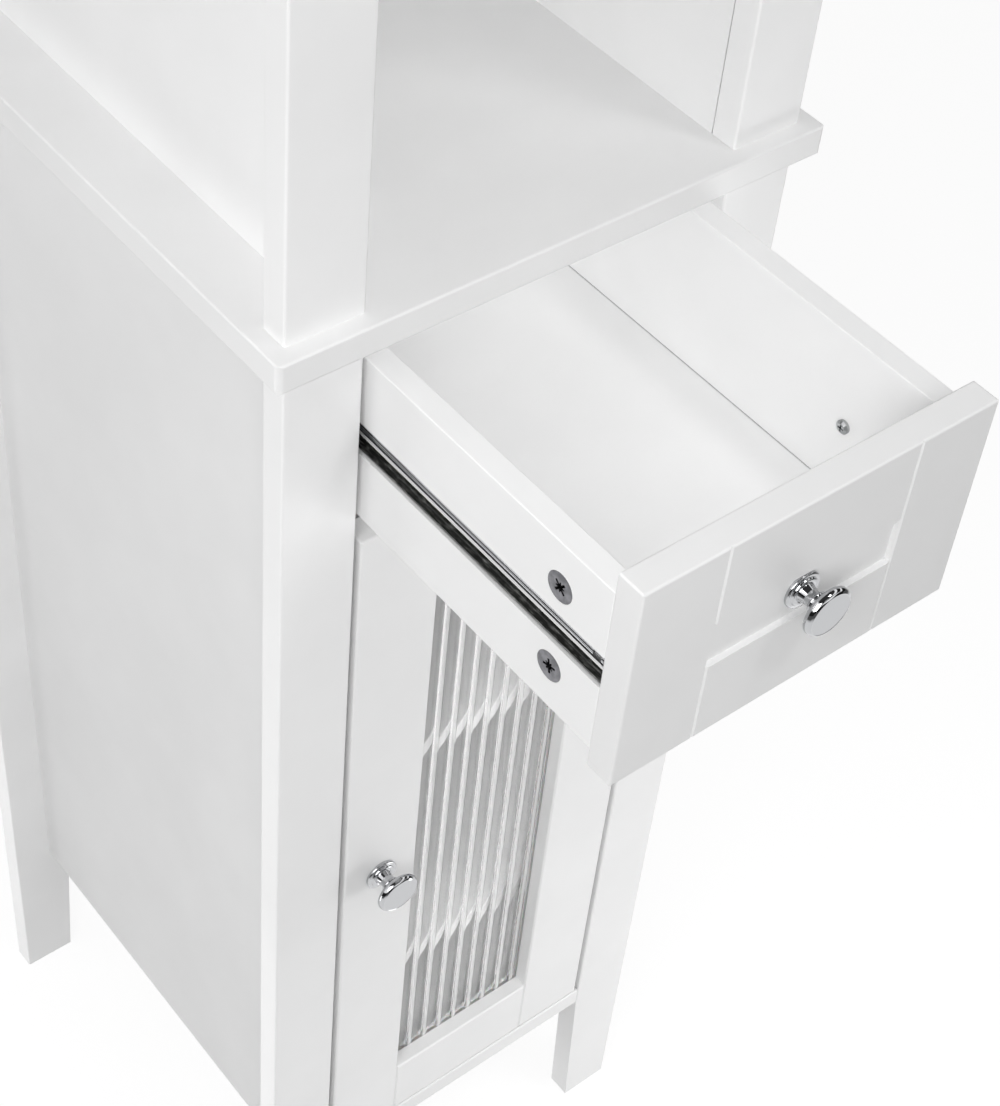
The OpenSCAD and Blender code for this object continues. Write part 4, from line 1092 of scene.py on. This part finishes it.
@dataclass(frozen=True)
class SoftLamp:
    """One soft lamp, placed by its direction from the point that it is aimed at.

    A lamp can spare nodes, which then throw no shadow in its light, or leave nodes
    unlit. It stands for the light that the room throws back into the tower's open
    parts, or from the floor, which reaches its lower part alone.
    """

    name: str
    azimuth_deg: float
    elevation_deg: float
    distance: float
    size: float
    watts: float
    aim_height: float
    spared: Names = ()
    unlit: Names = ()
    # Where it is aimed at from front to back: the case's front part.
    aim_y: float = -0.1

    def all_but(self, left_out: Sequence[str]) -> Collection:
        """Collects every mesh but some, for light linking.

        Args:
            left_out: names of nodes and pieces to leave out.

        Returns:
            A collection that isn't in the scene.
        """
        kept = bpy.data.collections.new(f"{self.name}_linked")
        for other in bpy.context.scene.objects:
            if other.type == "MESH" and other.name not in left_out:
                kept.objects.link(other)
        return kept

    def build(self) -> None:
        """Makes the lamp, turns it to its aim and links what shades it and what it lights."""
        lamp = bpy.data.lights.new(self.name, "AREA")
        lamp.shape = "SQUARE"
        lamp.size = self.size
        lamp.energy = self.watts
        made = bpy.data.objects.new(self.name, lamp)
        bpy.context.scene.collection.objects.link(made)
        out = heading(self.azimuth_deg, self.elevation_deg)
        made.location = Vector((0.0, self.aim_y, self.aim_height)) + out * self.distance
        made.rotation_euler = (-out).to_track_quat("-Z", "Y").to_euler()
        if self.spared:
            made.light_linking.blocker_collection = self.all_but(self.spared)
        if self.unlit:
            made.light_linking.receiver_collection = self.all_but(self.unlit)
        LOG.info("lamp %s: %.1f W", self.name, self.watts)


@dataclass(frozen=True)
class Studio:
    """Pale floor, white surroundings and soft lamps."""

    floor_radius: float = 12.0
    floor_sides: int = 96
    floor_seen: str = "F2F2F2"
    floor_thrown: str = "A6A6A6"
    floor_glow: float = 0.8
    glow_level: float = 1.07
    sky_level: float = 0.49
    # Metal mirrors the floor as white up to the first distance and dark from the second.
    paper_reach: Span = (1.3, 2.2)
    paper_end: float = 0.03
    right_strips: Stops = ((0.0, DARK), (0.22, DARK), (0.24, PALE), (0.36, PALE), (0.38, DARK), (0.6, DARK),
                           (0.62, PALE), (0.74, PALE), (0.76, OVERHEAD))
    left_strips: Stops = ((0.0, DARK), (0.28, DARK), (0.3, PALE), (0.8, PALE), (0.83, OVERHEAD))
    # Where the left strips pass into the right ones, as x of a direction.
    strips_meet: Span = (-0.3, -0.15)
    # A dark card that metal mirrors: its direction, the cosines of its soft edge and its tone.
    card_deg: Span = (-43.0, 46.0)
    card_edge: Span = (0.93, 0.95)
    card_tone: float = 0.03
    lamps: tuple[SoftLamp, ...] = (
        SoftLamp("key_softbox", 30.0, 62.0, 3.0, 0.5, 10.4, 0.6, ROUND_DRAWER),
        SoftLamp("left_rear_softbox", -125.0, 10.0, 3.0, 1.0, 9.0, 0.4),
        SoftLamp("left_wall", -52.0, 28.0, 1.3, 0.8, 11.0, 0.85, UPPER_AND_DRAWER),
        SoftLamp("front_floor", 42.0, 4.0, 0.7, 0.4, 2.1, 0.1, unlit=DRAWER),
        SoftLamp("left_floor", -110.0, 4.0, 0.7, 0.4, 1.2, 0.1, unlit=(*DRAWER, "lower_side_left")),
    )

    def build(self) -> None:
        """Makes the floor, the world and the lamps."""
        self.floor()
        self.world()
        for lamp in self.lamps:
            lamp.build()

    def floor(self) -> None:
        """Lays a floor that looks white, throws little light back and keeps the soft shadow."""
        shape = bmesh.new()
        bmesh.ops.create_circle(shape, cap_ends=True, segments=self.floor_sides, radius=self.floor_radius)
        mesh = bpy.data.meshes.new("studio_floor")
        shape.to_mesh(mesh)
        shape.free()
        material = bpy.data.materials.new("floor_matt_paper")
        tree = Tree(material)
        rays = tree.add("ShaderNodeLightPath").outputs
        bent = tree.add("ShaderNodeMath", LARGER, i0=rays["Is Glossy Ray"], i1=rays["Is Transmission Ray"])
        seen = tree.add("ShaderNodeMath", LARGER, i0=rays["Is Camera Ray"], i1=bent)
        tone = tree.add("ShaderNodeMix", COLOURS, i0=seen, i6=srgb(self.floor_thrown),
                        i7=srgb(self.floor_seen))
        away = tree.add("ShaderNodeVectorMath", {"operation": "LENGTH"}, i0=tree.at)
        paper = tree.add("ShaderNodeMapRange", i0=away.outputs["Value"], i1=self.paper_reach[0],
                         i2=self.paper_reach[1], i3=1.0, i4=self.paper_end)
        reach = tree.add("ShaderNodeMix", i0=rays["Is Glossy Ray"], i2=1.0, i3=paper)
        matt = tree.add("ShaderNodeBsdfDiffuse", Color=tone.outputs[2])
        level = tree.add("ShaderNodeMath", TIMES, i0=reach, i1=self.glow_level)
        glow = tree.add("ShaderNodeEmission", Color=WHITE, Strength=level)
        share = tree.add("ShaderNodeMath", TIMES, i0=seen, i1=self.floor_glow)
        both = tree.add("ShaderNodeMixShader", i0=share, i1=matt, i2=glow)
        tree.add("ShaderNodeOutputMaterial", Surface=both)
        mesh.materials.append(material)
        floor = bpy.data.objects.new("studio_floor", mesh)
        bpy.context.scene.collection.objects.link(floor)
        floor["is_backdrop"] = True

    def world(self) -> None:
        """Surrounds the tower with white; metal and glass also show dark and pale strips overhead."""
        world = bpy.data.worlds.new("studio")
        bpy.context.scene.world = world
        tree = Tree(world, "Generated")
        split = tree.add("ShaderNodeSeparateXYZ", i0=tree.at).outputs
        right = tree.add("ShaderNodeValToRGB", stops=self.right_strips, Fac=split["Z"])
        left = tree.add("ShaderNodeValToRGB", stops=self.left_strips, Fac=split["Z"])
        rightness = tree.add("ShaderNodeMapRange", i0=split["X"], i1=self.strips_meet[0],
                             i2=self.strips_meet[1])
        sides = tree.add("ShaderNodeMix", COLOURS, i0=rightness, i6=left, i7=right)
        toward = tree.add("ShaderNodeVectorMath", {"operation": "DOT_PRODUCT"}, i0=tree.at,
                          i1=heading(*self.card_deg))
        card = tree.add("ShaderNodeMapRange", i0=toward.outputs["Value"], i1=self.card_edge[0],
                        i2=self.card_edge[1])
        dome = tree.add("ShaderNodeMix", COLOURS, i0=card, i6=sides.outputs[2], i7=grey(self.card_tone))
        light = tree.add("ShaderNodeBackground", Color=WHITE, Strength=self.sky_level)
        mirrored = tree.add("ShaderNodeBackground", Color=dome.outputs[2], Strength=1.0)
        white = tree.add("ShaderNodeBackground", Color=WHITE, Strength=1.0)
        rays = tree.add("ShaderNodeLightPath").outputs
        bent = tree.add("ShaderNodeMath", LARGER, i0=rays["Is Glossy Ray"], i1=rays["Is Transmission Ray"])
        first = tree.add("ShaderNodeMixShader", i0=bent, i1=light, i2=mirrored)
        last = tree.add("ShaderNodeMixShader", i0=rays["Is Camera Ray"], i1=first, i2=white)
        tree.add("ShaderNodeOutputWorld", Surface=last)


@dataclass(frozen=True)
class PhotoView:
    """The photograph's camera, solved from its vanishing points.

    The near left corner of the middle board fixes the camera's place: it is seen
    at anchor_px, at anchor_depth metres along the line of sight.
    """

    width_px: int = 1000
    height_px: int = 1106
    focal_px: float = 2277.93
    azimuth_deg: float = -43.03
    elevation_deg: float = 45.993
    roll_deg: float = 6.4155
    anchor_px: Span = (278.01, 369.47)
    anchor_depth: float = 0.8889
    film_mm: float = 36.0
    nearest: float = 0.01

    def axes(self) -> tuple[Vector, Vector, Vector]:
        """Turns the line of sight's own axes by the roll.

        Returns:
            The camera's right, down and forward directions.
        """
        forward = -heading(self.azimuth_deg, self.elevation_deg)
        right = forward.cross(Vector((0, 0, 1))).normalized()
        down = forward.cross(right)
        roll = math.radians(self.roll_deg)
        return (right * math.cos(roll) - down * math.sin(roll),
                right * math.sin(roll) + down * math.cos(roll), forward)

    def build(self) -> None:
        """Makes the camera and sets it as the scene's own."""
        right, down, forward = self.axes()
        low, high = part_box("mid_board")
        across = (self.anchor_px[0] - self.width_px / 2) / self.focal_px
        below = (self.anchor_px[1] - self.height_px / 2) / self.focal_px
        corner = Vector((low.x, low.y, high.z))
        eye = corner - self.anchor_depth * (right * across + down * below + forward)
        data = bpy.data.cameras.new("photo_camera")
        data.sensor_width = self.film_mm
        data.lens = self.film_mm * self.focal_px / max(self.width_px, self.height_px)
        data.clip_start = self.nearest
        camera = bpy.data.objects.new("photo_camera", data)
        turn = Matrix((right, -down, -forward)).transposed()
        camera.matrix_world = Matrix.Translation(eye) @ turn.to_4x4()
        bpy.context.scene.collection.objects.link(camera)
        bpy.context.scene.camera = camera


def write_sizes() -> None:
    """Gathers the CAD box and the dressed tower's box as lists; the result isn't kept."""
    boxes = {"cad": CAD_BOUNDS, "visual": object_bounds()}
    {name: [list(corner) for corner in box] for name, box in boxes.items()}


def main() -> None:
    """Builds the camera, the tower's sub-assemblies and the studio, in that order."""
    logging.basicConfig(level=logging.INFO, format="%(name)s %(message)s", force=True)
    bpy.context.scene.view_settings.view_transform = "Standard"
    PhotoView().build()
    workshop = Workshop()
    for assembly in (Carcass(), Drawer(), Slides(), Door()):
        assembly.build(workshop)
    Studio().build()
    write_sizes()


if __name__ == "__main__":
    main()
